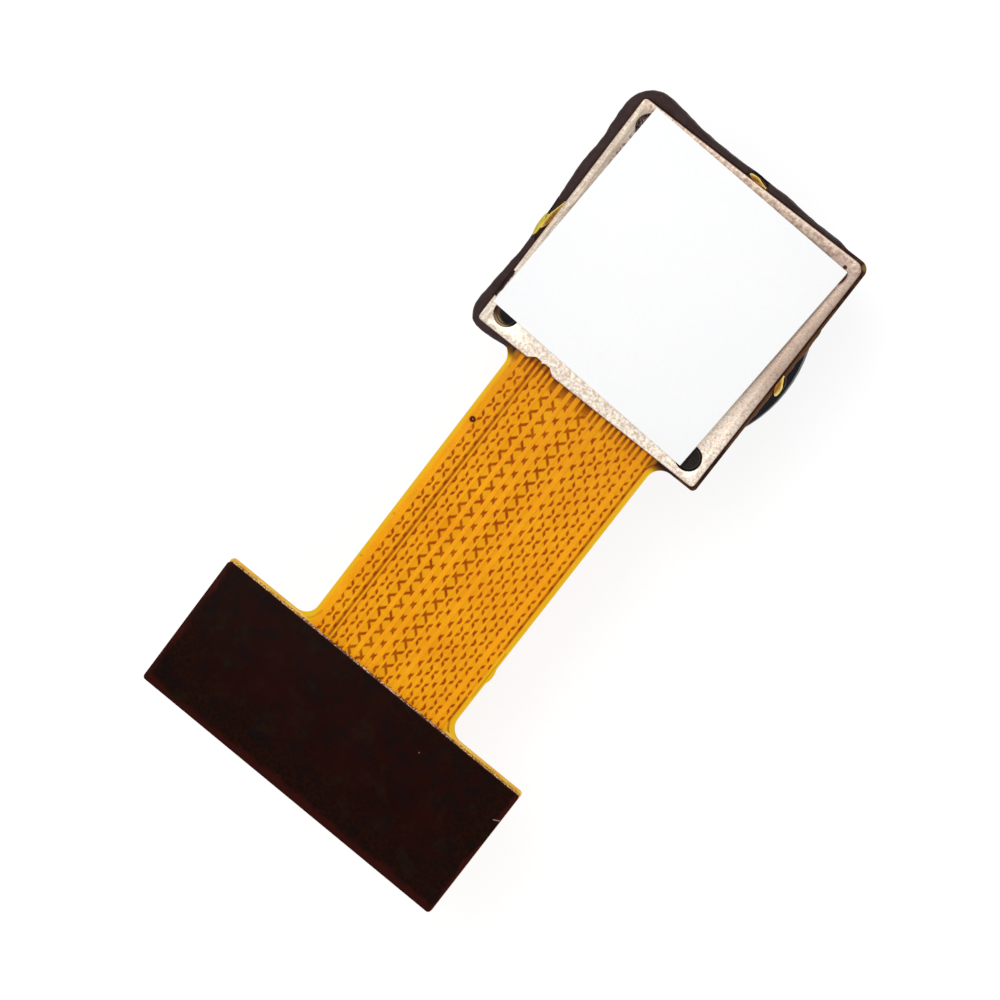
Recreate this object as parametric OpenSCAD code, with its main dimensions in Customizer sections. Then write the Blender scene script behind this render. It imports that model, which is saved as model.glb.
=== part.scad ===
// Fixed-focus camera module on a flexible circuit: a glued lens head at one end of a
// narrow neck, and a stiffened tail with edge contacts at the other.
// The origin is on the lens axis, in the plane of the lens's front face. The back of
// the head faces +Z, and the head lies at the +Y end.

/* [Flex circuit] */
// Thickness of the laminated circuit
flex_t = 0.12; // [0.1:0.01:0.16]
// How far the head pad stands out round the steel plate
pad_margin = 0.11; // [0.05:0.01:0.2]
// Width of the neck
neck_w = 6; // [5.8:0.05:7]
// Length of the neck between the head pad and the tail
neck_len = 11.34; // [6:0.02:40]
// Radius where the neck meets the head pad and the tail
neck_r = 0.55; // [0.2:0.05:1]
// Sideways shift of the neck and the tail from the lens axis
neck_shift = 0.1; // [-0.5:0.05:0.5]
// Height of the copper traces under the cover film
trace_h = 0.02; // [0.01:0.005:0.04]
// Bare margin between the outermost traces and the edge of the neck
trace_margin = 0.08; // [0.05:0.01:0.2]
// Diameter of the test via beside the traces
via_d = 0.17; // [0.1:0.01:0.3]
// Distance from the edge of the neck to the middle of the via
via_inset = 0.3; // [0.25:0.01:0.4]
// Distance from the tail's end of the neck to the via
via_place = 8.7; // [5:0.02:11]

/* [Tail and contacts] */
// Distance between neighbouring contacts
contact_pitch = 0.5; // [0.5:0.05:0.6]
// Number of contacts
contact_count = 24; // [20:1:30]
// Width of a contact
contact_w = 0.32; // [0.2:0.01:0.4]
// Length of a contact
contact_len = 3.3; // [2:0.1:4]
// Thickness of a contact, and of the cover film that stops short of it
contact_t = 0.03; // [0.02:0.005:0.05]
// Length of the tail from its free edge to the neck
tail_len = 5.16; // [4.6:0.02:8]
// Thickness of the tail where it enters its socket
tail_t = 0.3; // [0.25:0.01:0.35]
// Bare strip of circuit between the tail's stiffener and the neck
tail_strip = 0.13; // [0.05:0.01:0.5]
// Sideways lean of the tail's cut ends
tail_lean = 0.04; // [0:0.01:0.2]
// Radius of the tail's corners
tail_r = 0.13; // [0.05:0.01:0.3]

/* [Steel plate] */
// How far the square plate stands out beyond the holder's base
plate_overhang = 0.1; // [0.05:0.01:0.3]
// Thickness of the plate
plate_t = 0.2; // [0.15:0.01:0.3]
// Corner radius of the plate
plate_r = 0.15; // [0.05:0.01:0.3]
// Larger radius of the corner that tells the plate's way round
key_r = 0.33; // [0.2:0.01:0.6]
// Distance from the holder's walls to the middle of a locating hole
hole_inset = 0.6; // [0.54:0.01:0.65]
// Diameter of the locating holes
hole_d = 0.88; // [0.8:0.01:0.95]
// Width of the relief in the plate's edge, at its mouth
notch_w = 1.08; // [0.6:0.02:1.6]
// Width of the relief at its floor
notch_floor = 0.56; // [0.3:0.02:1]
// Depth of the relief
notch_depth = 0.18; // [0.05:0.01:0.25]
// Sideways place of the relief
notch_x = -1.88; // [-2.2:0.01:2]
// Width of the tooth that shearing leaves on the relief's floor
tooth_w = 0.14; // [0.06:0.01:0.2]
// Height of the tooth
tooth_h = 0.07; // [0.02:0.01:0.1]

/* [Tape and liner] */
// Bare edge of the plate at each side of the mounting tape and its liner
tape_side = 0.435; // [0.35:0.005:1]
// Bare edge of the plate at each end of the mounting tape and its liner
tape_end = 0.44; // [0.35:0.005:1]
// Thickness of the mounting tape
tape_t = 0.12; // [0.05:0.01:0.2]
// Thickness of the release liner
liner_t = 0.08; // [0.05:0.01:0.12]
// Turn of the hand-placed tape
tape_turn = -2.9; // [-3:0.1:3]
// Sideways error of the hand-placed tape
tape_x = -0.11; // [-0.2:0.01:0.2]
// Lengthwise error of the hand-placed tape
tape_y = 0.11; // [-0.2:0.01:0.2]

/* [Lens holder] */
// Height of the base
base_h = 2.28; // [2.1:0.02:2.6]
// Corner radius of the base
base_r = 0.5; // [0.3:0.05:0.6]
// Thickness of the base's walls
wall_t = 0.7; // [0.6:0.05:0.75]
// Diameter of the tower that takes the lens barrel
tower_d = 7.7; // [7.6:0.05:7.8]
// Land between the tower and the edge of the base on the neck's side
tower_land = 0.05; // [0:0.01:0.2]
// Height of the tower in front of the base
tower_h = 0.75; // [0.5:0.05:1.2]
// Flare where the tower meets the base
skirt = 0.2; // [0.1:0.05:0.4]
// Depth of the cavity over the image sensor
cavity_h = 1.28; // [1.2:0.02:1.5]
// Thickness of the web that carries the filter
web_t = 0.4; // [0.3:0.05:0.5]
// Side of the light window in the web
window_w = 4.6; // [4:0.1:4.8]
// Diameter of the pegs that locate the circuit and the plate
peg_d = 0.76; // [0.6:0.01:0.78]
// Diameter of the bosses that carry the pegs
boss_d = 1.5; // [1.2:0.05:1.6]
// Depth of the peg ends below the back of the plate
peg_sink = 0.1; // [0.02:0.01:0.15]

/* [Lens barrel] */
// Diameter of the lens flange
flange_d = 9.4; // [8.8:0.05:10]
// Thickness of the lens flange
flange_t = 1.2; // [1.15:0.05:1.6]
// Chamfer round the front of the flange
flange_chamfer = 0.3; // [0.1:0.05:0.4]
// Gap left by focusing between the flange and the tower
focus_gap = 0.25; // [0.1:0.05:0.5]
// Diameter of the focus thread
thread_d = 7; // [6.9:0.05:7.1]
// Radial clearance of the focus thread
thread_play = 0.03; // [0.01:0.01:0.06]
// Gap between the back of the barrel and the holder's web
back_gap = 0.15; // [0.05:0.01:0.2]
// Diameter of the mouth of the front hood
hood_d = 7; // [6.4:0.1:7.2]
// Width of the four spanner slots
slot_w = 0.9; // [0.5:0.1:1.2]
// Depth of the spanner slots
slot_depth = 0.3; // [0.1:0.05:0.5]
// Land between the hood's mouth and the spanner slots
slot_land = 0.3; // [0.2:0.05:0.6]

/* [Lens stack] */
// Diameter of the front lens
front_lens_d = 5.8; // [5.4:0.1:6]
// Depth of the shoulder that the front lens sits on
front_seat = 1; // [0.9:0.05:1.1]
// Thickness of the front lens's rim
front_rim_t = 0.38; // [0.3:0.02:0.42]
// Height of the front lens's dome
dome_h = 0.42; // [0.3:0.02:0.44]
// Thickness of the ring that holds the front lens
front_ring_t = 0.25; // [0.15:0.01:0.28]
// Thickness of the aperture stop
stop_t = 0.12; // [0.08:0.01:0.16]
// Diameter of the aperture
stop_d = 1.5; // [0.8:0.1:2]
// Diameter of the two inner lenses
inner_lens_d = 4.9; // [4.6:0.1:5.2]
// Rim thickness of the middle lens
middle_rim_t = 0.32; // [0.28:0.01:0.34]
// Thickness of the ring between the inner lenses
spacer_t = 0.3; // [0.26:0.01:0.32]
// Rim thickness of the rear lens
rear_rim_t = 0.4; // [0.36:0.01:0.42]
// Thickness of the rear ring
rear_ring_t = 0.34; // [0.28:0.01:0.36]
// Width of the spacer and of the rings
ring_w = 0.45; // [0.3:0.05:0.5]
// Height of the domes on the inner lenses
inner_dome_h = 0.2; // [0.1:0.01:0.22]
// Diameter of the bowl in the back of the front lens
front_bowl_d = 2.6; // [1.6:0.1:3]
// Depth of the bowl in the back of the front lens
front_bowl_h = 0.35; // [0.1:0.01:0.38]
// Width of the flat land round the bowl of the rear lens
bowl_land = 0.65; // [0.5:0.05:1]
// Depth of the bowl in the front of the rear lens
rear_bowl_h = 0.12; // [0.05:0.01:0.16]
// Gap between a ring and the dome that it surrounds
dome_play = 0.04; // [0.02:0.01:0.08]
// Radial clearance of the lenses and rings in the barrel
lens_play = 0.02; // [0.01:0.01:0.04]

/* [Filter and image sensor] */
// Side of the infrared filter
filter_w = 5.6; // [5.2:0.05:5.8]
// Thickness of the infrared filter
filter_t = 0.3; // [0.2:0.02:0.34]
// Width of the glue line round the filter
filter_glue_w = 0.1; // [0.05:0.01:0.15]
// Depth of the filter's pocket in the web
pocket_h = 0.15; // [0.1:0.01:0.2]
// Width of the image sensor package
sensor_w = 5.7; // [5.2:0.1:5.8]
// Length of the image sensor package
sensor_len = 6.3; // [5.8:0.1:6.4]
// Gap between the package and the cavity's wall on the neck's side
sensor_gap = 0.35; // [0.2:0.05:0.6]
// Thickness of the silicon
die_t = 0.2; // [0.15:0.01:0.24]
// Thickness of the glue frame between the silicon and its glass
dam_t = 0.04; // [0.03:0.01:0.06]
// Width of the glue frame
dam_w = 0.6; // [0.3:0.05:0.8]
// Thickness of the sensor's cover glass
glass_t = 0.4; // [0.3:0.02:0.44]
// Height of the solder balls
ball_h = 0.22; // [0.18:0.01:0.26]
// Diameter of the solder balls
ball_d = 0.32; // [0.28:0.01:0.4]
// Distance between the solder balls
ball_pitch = 0.8; // [0.7:0.05:0.84]

/* [Capacitors] */
// Length of a chip capacitor
cap_len = 1; // [0.8:0.05:1.1]
// Width and height of a chip capacitor
cap_w = 0.5; // [0.4:0.02:0.54]
// Length of a capacitor's soldered end
cap_end = 0.25; // [0.15:0.01:0.3]
// Clearance on each side of a capacitor
cap_gap = 0.125; // [0.1:0.005:0.2]

/* [Glue] */
// Width of the glue drops that lock the focus
drop_d = 1; // [0.6:0.05:1.1]
// Greatest width of the perimeter glue beyond the holder's walls
glue_w = 0.62; // [0.3:0.01:0.7]
// Depth of the glue's inner edge, which the holder's wall cuts away
glue_root = 0.15; // [0.1:0.01:0.3]
// How far the perimeter glue runs down the holder's walls
glue_drop = 0.8; // [0.4:0.05:1.2]
// How far the perimeter glue climbs the side of the steel plate
glue_climb = 0.12; // [0.04:0.01:0.16]

/* [Hidden] */
$fn = 64;
cut = 0.5; // how far a cutting shape runs past the face that it opens

// Heights of the faces, from the lens's front face towards the back of the head
tower_z = flange_t + focus_gap;
base_z = tower_z + tower_h;
flex_z = base_z + base_h;
plate_z = flex_z + flex_t;
tape_z = plate_z + plate_t;
liner_z = tape_z + tape_t;
web_z = flex_z - cavity_h;
barrel_len = web_z - web_t - back_gap;
middle_z = front_seat + stop_t;
spacer_z = middle_z + middle_rim_t;
rear_z = spacer_z + spacer_t;
rear_ring_z = rear_z + rear_rim_t;
filter_z = web_z - pocket_h;
die_z = flex_z - ball_h - die_t;
dam_z = die_z - dam_t;
glass_z = dam_z - glass_t;

// Plan of the head, from the image sensor outwards
cap_room = cap_w + 2 * cap_gap;
cavity_w = max(sensor_len + sensor_gap, sensor_w + cap_room) + cap_room;
base_w = cavity_w + 2 * wall_t;
plate_w = base_w + 2 * plate_overhang;
pad_w = plate_w + 2 * pad_margin;
hole_pitch = base_w - 2 * hole_inset;
tape_w = plate_w - 2 * tape_side;
tape_len = plate_w - 2 * tape_end;
// Distances from the lens axis to the middle of the head and of the sensor package
head_shift = base_w / 2 - tower_d / 2 - tower_land;
sensor_y = head_shift - cavity_w / 2 + sensor_gap + sensor_len / 2;

// Places along the circuit, from the lens axis
neck_y1 = head_shift - pad_w / 2;
neck_y0 = neck_y1 - neck_len;
tail_y = neck_y0 - tail_len;
tail_w = contact_pitch * (contact_count + 1);
stiffener_len = tail_len - tail_strip;
plate_edge_y = head_shift - plate_w / 2;

// Break-off lugs on three sides of the head pad: [turn, place along the side, length, reach]
lugs = [[180, 0.72, 1.1, 0.21], [90, -0.04, 0.66, 0.1], [0, -0.16, 0.72, 0.2]];

// Gaps between the copper traces, from the middle of the neck: [middle, width]
trace_gaps = [
    [-2.54, 0.12], [-2.34, 0.12], [-2.14, 0.1], [-1.94, 0.1], [-1.73, 0.1], [-1.53, 0.1],
    [-1.26, 0.22], [-0.85, 0.24], [-0.5, 0.14], [-0.19, 0.12], [0.09, 0.28], [0.38, 0.11],
    [0.58, 0.1], [0.88, 0.12], [1.08, 0.1], [1.28, 0.11], [1.49, 0.11], [1.69, 0.1],
    [1.89, 0.11], [2.09, 0.1], [2.3, 0.1], [2.6, 0.1], [2.8, 0.1]
];
trace_edge = neck_w / 2 - trace_margin;
via_x = neck_shift - neck_w / 2 + via_inset;
via_y = neck_y0 + via_place;
nib = [0.6, 0.06, 2.35]; // length and reach of the cutting nib, and its place up the neck

// Share of the glue's greatest width, by angle round the head
glue_share_by_angle = [
    [-45, 0.16], [12, 0.18], [17, 0.26], [26, 0.26], [32, 0.18], [45, 0.18], [48, 0.34],
    [51, 0.46], [54, 0.54], [68, 0.54], [80, 0.58], [88, 0.61], [105, 0.6], [115, 0.58],
    [122, 0.76], [128, 0.95], [135, 1], [142, 0.92], [153, 0.81], [162, 0.89], [171, 0.82],
    [184, 0.71], [196, 0.61], [210, 0.71], [218, 0.86], [225, 0.95], [231, 0.72],
    [236, 0.56], [241, 0.4], [246, 0.2], [254, 0.16], [315, 0.16]
];
// Where the glue climbs over the circuit's edge: 0 stays below it, 1 is fully over it
glue_over_by_angle = [[45, 0], [48, 1], [235, 1], [239, 0]];
low_bead = 0.35; // height of the bead where it stays below the circuit
bead_fullness = 0.5; // 1 makes the bead's section round, and less makes it squarer

ball_cols = 6;
ball_rows = 7;
drop_angles = [35, 155, 275];
drop_r = thread_d / 2 + drop_d / 2 + 0.02;

// The part of a square corner that lies outside its rounding
module corner_rest(r) {
    difference() {
        square(r);
        translate([r, r]) circle(r);
    }
}

// A square centred on the origin with all its corners rounded
module rounded_square(w, r) {
    difference() {
        square(w, center = true);
        for (turn = [0:90:270]) rotate(turn) translate([-w / 2, -w / 2]) corner_rest(r);
    }
}

// The head's square outline, with one larger corner that keys which way round it goes
module keyed_square(w) {
    difference() {
        rounded_square(w, plate_r);
        translate([w / 2, w / 2]) rotate(180) corner_rest(key_r);
    }
}

// A shallow bow that stands out of an edge along Y by its reach
module bow(len, reach) {
    r = (pow(len / 2, 2) + pow(reach, 2)) / (2 * reach);
    translate([reach - r, 0]) circle(r);
}

// Places its children at the four locating holes
module at_holes() {
    for (x = [-1, 1], y = [-1, 1])
        translate([x * hole_pitch / 2, head_shift + y * hole_pitch / 2]) children();
}

module pad_lugs() {
    translate([0, head_shift])
        for (lug = lugs)
            rotate(lug[0]) translate([pad_w / 2, lug[1]]) bow(lug[2], lug[3]);
}

// A quarter of the tail's corner rounding round a point, from a start angle
function tail_corner(x, y, start) =
    [for (a = [start:15:start + 90]) [x + tail_r * cos(a), y + tail_r * sin(a)]];

// The tail's plan shape over a given length from its free edge
module tail_shape(len) {
    lean = tail_lean * len / tail_len;
    x = tail_w / 2 - tail_r;
    translate([neck_shift, tail_y])
        polygon(concat(
            tail_corner(x, tail_r, -90), tail_corner(x - lean, len - tail_r, 0),
            tail_corner(-x - lean, len - tail_r, 90), tail_corner(-x, tail_r, 180)
        ));
}

module neck_shape() {
    translate([neck_shift, 0]) {
        translate([-neck_w / 2, neck_y0 - cut]) square([neck_w, neck_len + 2 * cut]);
        for (side = [0, 1]) mirror([side, 0]) {
            translate([neck_w / 2, neck_y0]) corner_rest(neck_r);
            translate([neck_w / 2, neck_y1]) mirror([0, 1]) corner_rest(neck_r);
        }
        translate([neck_w / 2, neck_y0 + nib[2]]) bow(nib[0], nib[1]);
    }
}

module circuit_shape() {
    translate([0, head_shift]) keyed_square(pad_w);
    pad_lugs();
    neck_shape();
    tail_shape(tail_len);
}

// The sheared relief with its sloping ends and the tooth on its floor
module notch_shape() {
    polygon([
        [-notch_w / 2, -cut], [-notch_w / 2, 0], [-notch_floor / 2, notch_depth],
        [-tooth_w / 2, notch_depth], [0, notch_depth - tooth_h], [tooth_w / 2, notch_depth],
        [notch_floor / 2, notch_depth], [notch_w / 2, 0], [notch_w / 2, -cut]
    ]);
}

module plate_shape() {
    translate([0, head_shift]) difference() {
        keyed_square(plate_w);
        translate([notch_x, -plate_w / 2]) notch_shape();
    }
}

// Straight copper ribs that fill the neck between the gaps
module trace_ribs() {
    count = len(trace_gaps);
    y0 = tail_y + stiffener_len;
    for (i = [0:count]) {
        x0 = i == 0 ? -trace_edge : trace_gaps[i - 1][0] + trace_gaps[i - 1][1] / 2;
        x1 = i == count ? trace_edge : trace_gaps[i][0] - trace_gaps[i][1] / 2;
        translate([neck_shift + x0, y0]) square([x1 - x0, plate_edge_y + notch_depth - y0]);
    }
}

module flex_circuit() {
    color([0.93, 0.62, 0.09]) {
        difference() {
            translate([0, 0, flex_z]) linear_extrude(flex_t) circuit_shape();
            translate([neck_shift - tail_w / 2 - cut, tail_y - cut, flex_z - cut])
                cube([tail_w + 2 * cut, contact_len + cut, contact_t + cut]);
            translate([0, 0, flex_z - cut]) at_holes() cylinder(d = hole_d, h = flex_t + 2 * cut);
            translate([via_x, via_y, flex_z - cut])
                cylinder(d = via_d, h = flex_t + trace_h + 2 * cut);
        }
        translate([0, 0, plate_z]) linear_extrude(trace_h) difference() {
            trace_ribs();
            plate_shape();
            translate([via_x, via_y]) circle(d = via_d);
        }
    }
}

module contact_fingers() {
    first = neck_shift - contact_pitch * (contact_count - 1) / 2;
    color([0.86, 0.68, 0.3])
        for (i = [0:contact_count - 1])
            translate([first + i * contact_pitch - contact_w / 2, tail_y, flex_z])
                cube([contact_w, contact_len, contact_t]);
}

module tail_stiffener() {
    color([0.12, 0.05, 0.04])
        translate([0, 0, plate_z]) linear_extrude(tail_t - flex_t) tail_shape(stiffener_len);
}

module head_stiffener() {
    color([0.74, 0.7, 0.63])
        difference() {
            translate([0, 0, plate_z]) linear_extrude(plate_t) plate_shape();
            translate([0, 0, plate_z - cut]) at_holes() cylinder(d = hole_d, h = plate_t + 2 * cut);
        }
}

// One layer of the hand-placed tape
module tape_layer(z, t) {
    translate([tape_x, head_shift + tape_y, z]) rotate(tape_turn)
        translate([-tape_w / 2, -tape_len / 2]) cube([tape_w, tape_len, t]);
}

module mounting_tape() {
    color([0.9, 0.9, 0.86]) tape_layer(tape_z, tape_t);
}

module release_liner() {
    color([0.98, 0.98, 0.98]) tape_layer(liner_z, liner_t);
}

// A point in plan at an angle round the head, at a distance beyond the holder's wall
function wall_point(a, beyond) =
    let(
        ray = [cos(a), sin(a)],
        inner = base_w / 2 - base_r,
        on_side = ray * (base_w / 2 + beyond) / max(abs(ray.x), abs(ray.y)),
        middle = [sign(ray.x) * inner, sign(ray.y) * inner],
        along = ray * middle,
        far = along + sqrt(along * along - middle * middle + pow(base_r + beyond, 2))
    )
    min(abs(on_side.x), abs(on_side.y)) > inner ? ray * far : on_side;

// One D-shaped section of the glue bead
function glue_section(a, steps) =
    let(
        reach = glue_w * lookup(a, glue_share_by_angle) + glue_root,
        over = lookup(a, glue_over_by_angle),
        top = flex_z + over * (flex_t + glue_climb),
        bottom = flex_z - low_bead - over * (glue_drop - low_bead)
    )
    [for (i = [0:steps])
        let(
            t = -90 + 180 * i / steps,
            p = wall_point(a, reach * pow(max(cos(t), 0), bead_fullness) - glue_root),
            rise = sign(t) * pow(abs(sin(t)), bead_fullness)
        )
        [p.x, p.y + head_shift, (top + bottom) / 2 + rise * (top - bottom) / 2]];

module glue_bead() {
    steps = 8;
    side_turn = 7;
    corner_turn = 2.3;
    angles = [for (side = [0:3]) each concat(
        [for (k = [-5:5]) 90 * side + side_turn * k],
        [for (k = [-3:3]) 90 * side + 45 + corner_turn * k]
    )];
    count = len(angles);
    n = steps + 1;
    points = [for (a = angles) each glue_section(a, steps)];
    faces = [
        for (i = [0:count - 1], j = [0:steps])
            let(
                p = i * n + j,
                q = i * n + (j + 1) % n,
                r = ((i + 1) % count) * n + (j + 1) % n,
                s = ((i + 1) % count) * n + j
            )
            each [[p, q, r], [p, r, s]]
    ];
    polyhedron(points, faces);
}

module perimeter_glue() {
    color([0.2, 0.17, 0.17])
        difference() {
            glue_bead();
            translate([0, 0, base_z]) linear_extrude(base_h) base_shape();
            translate([0, 0, flex_z]) linear_extrude(flex_t) circuit_shape();
            translate([0, 0, plate_z]) linear_extrude(plate_t) plate_shape();
            translate([0, 0, flex_z]) linear_extrude(flex_t + plate_t) pad_lugs();
        }
}

module base_shape() {
    translate([0, head_shift]) rounded_square(base_w, base_r);
}

// The cavity's plan shape, with room left in its corners for the peg bosses
module cavity_shape() {
    difference() {
        translate([0, head_shift]) square(cavity_w, center = true);
        at_holes() circle(d = boss_d);
    }
}

module lens_holder() {
    color([0.1, 0.1, 0.11]) {
        difference() {
            union() {
                translate([0, 0, base_z]) linear_extrude(base_h) base_shape();
                translate([0, 0, tower_z]) cylinder(d = tower_d, h = tower_h + skirt);
                intersection() {
                    translate([0, 0, base_z - skirt])
                        cylinder(d1 = tower_d, d2 = tower_d + 2 * skirt, h = skirt);
                    translate([0, 0, base_z - skirt]) linear_extrude(skirt) base_shape();
                }
            }
            translate([0, 0, tower_z - cut])
                cylinder(d = thread_d, h = web_z - web_t - tower_z + cut);
            translate([-window_w / 2, -window_w / 2, web_z - web_t - cut])
                cube([window_w, window_w, web_t + 2 * cut]);
            pocket_w = filter_w + 2 * filter_glue_w;
            translate([-pocket_w / 2, -pocket_w / 2, filter_z]) cube([pocket_w, pocket_w, cut]);
            translate([0, 0, web_z]) linear_extrude(cavity_h + cut) cavity_shape();
        }
        translate([0, 0, flex_z]) at_holes()
            cylinder(d = peg_d, h = flex_t + plate_t - peg_sink);
    }
}

module focus_glue() {
    color([0.75, 0.75, 0.6])
        intersection() {
            translate([0, 0, tower_z - focus_gap / 2])
                for (a = drop_angles) rotate(a) translate([drop_r, 0]) sphere(d = drop_d);
            translate([0, 0, flange_t]) cylinder(d = flange_d + drop_d, h = focus_gap);
        }
}

module lens_barrel() {
    hood_h = front_seat - front_rim_t - dome_h;
    color([0.13, 0.13, 0.16])
        difference() {
            union() {
                cylinder(
                    d1 = flange_d - 2 * flange_chamfer, d2 = flange_d, h = flange_chamfer
                );
                translate([0, 0, flange_chamfer])
                    cylinder(d = flange_d, h = flange_t - flange_chamfer);
                cylinder(d = thread_d - 2 * thread_play, h = barrel_len);
            }
            cylinder(d1 = hood_d, d2 = front_lens_d + 2 * lens_play, h = hood_h);
            translate([0, 0, hood_h])
                cylinder(d = front_lens_d + 2 * lens_play, h = front_seat - hood_h);
            translate([0, 0, front_seat - cut]) cylinder(d = stop_d, h = stop_t + 2 * cut);
            translate([0, 0, middle_z])
                cylinder(d = inner_lens_d + 2 * lens_play, h = barrel_len - middle_z + cut);
            for (a = [45:90:315]) rotate(a)
                translate([hood_d / 2 + slot_land, -slot_w / 2, -cut])
                    cube([flange_d, slot_w, slot_depth + cut]);
        }
}

// A flat ring with its front face at a height
module ring(outer_d, w, z, t) {
    translate([0, 0, z]) difference() {
        cylinder(d = outer_d, h = t);
        translate([0, 0, -cut]) cylinder(d = outer_d - 2 * w, h = t + 2 * cut);
    }
}

// A spherical cap on a disc of diameter d, bulging towards -Z from height z
module dome(d, h, z) {
    r = (pow(d / 2, 2) + pow(h, 2)) / (2 * h);
    intersection() {
        translate([0, 0, z - h + r]) sphere(r, $fn = 240);
        translate([0, 0, z - h]) cylinder(d = d + 1, h = h);
    }
}

module front_ring() {
    color([0.16, 0.16, 0.18])
        ring(front_lens_d, ring_w, front_seat - front_rim_t - front_ring_t, front_ring_t);
}

module front_lens() {
    rim_z = front_seat - front_rim_t;
    color([0.35, 0.4, 0.6, 0.5])
        difference() {
            union() {
                translate([0, 0, rim_z]) cylinder(d = front_lens_d, h = front_rim_t);
                dome(front_lens_d - 2 * (ring_w + dome_play), dome_h, rim_z);
            }
            dome(front_bowl_d, front_bowl_h, front_seat);
        }
}

module middle_lens() {
    color([0.6, 0.65, 0.75, 0.5]) {
        translate([0, 0, middle_z]) cylinder(d = inner_lens_d, h = middle_rim_t);
        translate([0, 0, 2 * spacer_z]) mirror([0, 0, 1])
            dome(inner_lens_d - 2 * (ring_w + dome_play), inner_dome_h, spacer_z);
    }
}

module lens_spacer() {
    color([0.12, 0.12, 0.12]) ring(inner_lens_d, ring_w, spacer_z, spacer_t);
}

module rear_lens() {
    color([0.6, 0.65, 0.75, 0.5])
        difference() {
            union() {
                translate([0, 0, rear_z]) cylinder(d = inner_lens_d, h = rear_rim_t);
                translate([0, 0, 2 * rear_ring_z]) mirror([0, 0, 1])
                    dome(inner_lens_d - 2 * (ring_w + dome_play), inner_dome_h, rear_ring_z);
            }
            translate([0, 0, 2 * rear_z]) mirror([0, 0, 1])
                dome(inner_lens_d - 2 * bowl_land, rear_bowl_h, rear_z);
        }
}

module rear_ring() {
    color([0.16, 0.16, 0.18]) ring(inner_lens_d, ring_w, rear_ring_z, rear_ring_t);
}

// A square frame round the lens axis with its front face at a height
module square_frame(outer_w, w, z, t) {
    translate([0, 0, z]) linear_extrude(t) difference() {
        square(outer_w, center = true);
        square(outer_w - 2 * w, center = true);
    }
}

module filter_glue() {
    color([0.85, 0.85, 0.8])
        square_frame(filter_w + 2 * filter_glue_w, filter_glue_w, filter_z, pocket_h);
}

module ir_filter() {
    color([0.55, 0.8, 0.85, 0.5])
        translate([-filter_w / 2, -filter_w / 2, filter_z]) cube([filter_w, filter_w, filter_t]);
}

// A block of the sensor package's outline, with its front face at a height
module package_block(inset, z, t) {
    translate([inset - sensor_w / 2, inset - sensor_len / 2 + sensor_y, z])
        cube([sensor_w - 2 * inset, sensor_len - 2 * inset, t]);
}

module image_sensor() {
    array = [3.6, 2.7, 0.01];
    color([0.25, 0.27, 0.35]) {
        package_block(0, die_z, die_t);
        translate([-array.x / 2, -array.y / 2, die_z - array.z]) cube(array);
    }
}

module sensor_dam() {
    color([0.2, 0.2, 0.2])
        difference() {
            package_block(0, dam_z, dam_t);
            package_block(dam_w, dam_z - cut, dam_t + 2 * cut);
        }
}

module sensor_glass() {
    color([0.75, 0.85, 0.85, 0.5]) package_block(0, glass_z, glass_t);
}

module solder_balls() {
    middle = [(ball_cols - 1) / 2, (ball_rows - 1) / 2];
    color([0.75, 0.76, 0.78])
        intersection() {
            translate([0, sensor_y, flex_z - ball_h / 2])
                for (i = [0:ball_cols - 1], j = [0:ball_rows - 1])
                    if (abs(i - middle.x) > 1 || abs(j - middle.y) > 1)
                        translate([i - middle.x, j - middle.y, 0] * ball_pitch)
                            sphere(d = ball_d, $fn = 24);
            package_block(0, flex_z - ball_h, ball_h);
        }
}

// Places its children at each capacitor: four above the sensor, and two on each side
module at_capacitors() {
    row_y = head_shift + cavity_w / 2 - cap_room / 2;
    side_x = (sensor_w + cavity_w) / 4;
    for (i = [-1.5:1:1.5])
        translate([i * 1.3 * cap_len, row_y, flex_z - cap_w]) children();
    for (x = [-1, 1], y = [-1, 1])
        translate([x * side_x, head_shift + y * 1.2 * cap_len, flex_z - cap_w])
            rotate(90) children();
}

module capacitor_bodies() {
    body = cap_len - 2 * cap_end;
    color([0.62, 0.5, 0.38])
        at_capacitors() translate([-body / 2, -cap_w / 2, 0]) cube([body, cap_w, cap_w]);
}

module capacitor_ends() {
    color([0.8, 0.8, 0.8])
        at_capacitors() for (side = [0, 1]) mirror([side, 0])
            translate([cap_len / 2 - cap_end, -cap_w / 2, 0]) cube([cap_end, cap_w, cap_w]);
}

flex_circuit();
contact_fingers();
tail_stiffener();
head_stiffener();
mounting_tape();
release_liner();
perimeter_glue();
lens_holder();
focus_glue();
lens_barrel();
front_ring();
front_lens();
middle_lens();
lens_spacer();
rear_lens();
rear_ring();
filter_glue();
ir_filter();
image_sensor();
sensor_dam();
sensor_glass();
solder_balls();
capacitor_bodies();
capacitor_ends();
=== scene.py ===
# %% [markdown]
# # A camera module on a flexible circuit
#
# This lesson dresses a small electronic part: a lens head under a steel back plate, a
# narrow amber circuit full of copper traces, and a dark stiffened tail with contacts.
# The exact solids come from CAD. Blender adds the camera, the light, the soft edges,
# the glue and the finishes.
#
# They are never moved. A piece that needs a softer or finer form gets a copy that
# stands in for it.

import math

import bpy
from mathutils import Matrix, Vector


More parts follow.
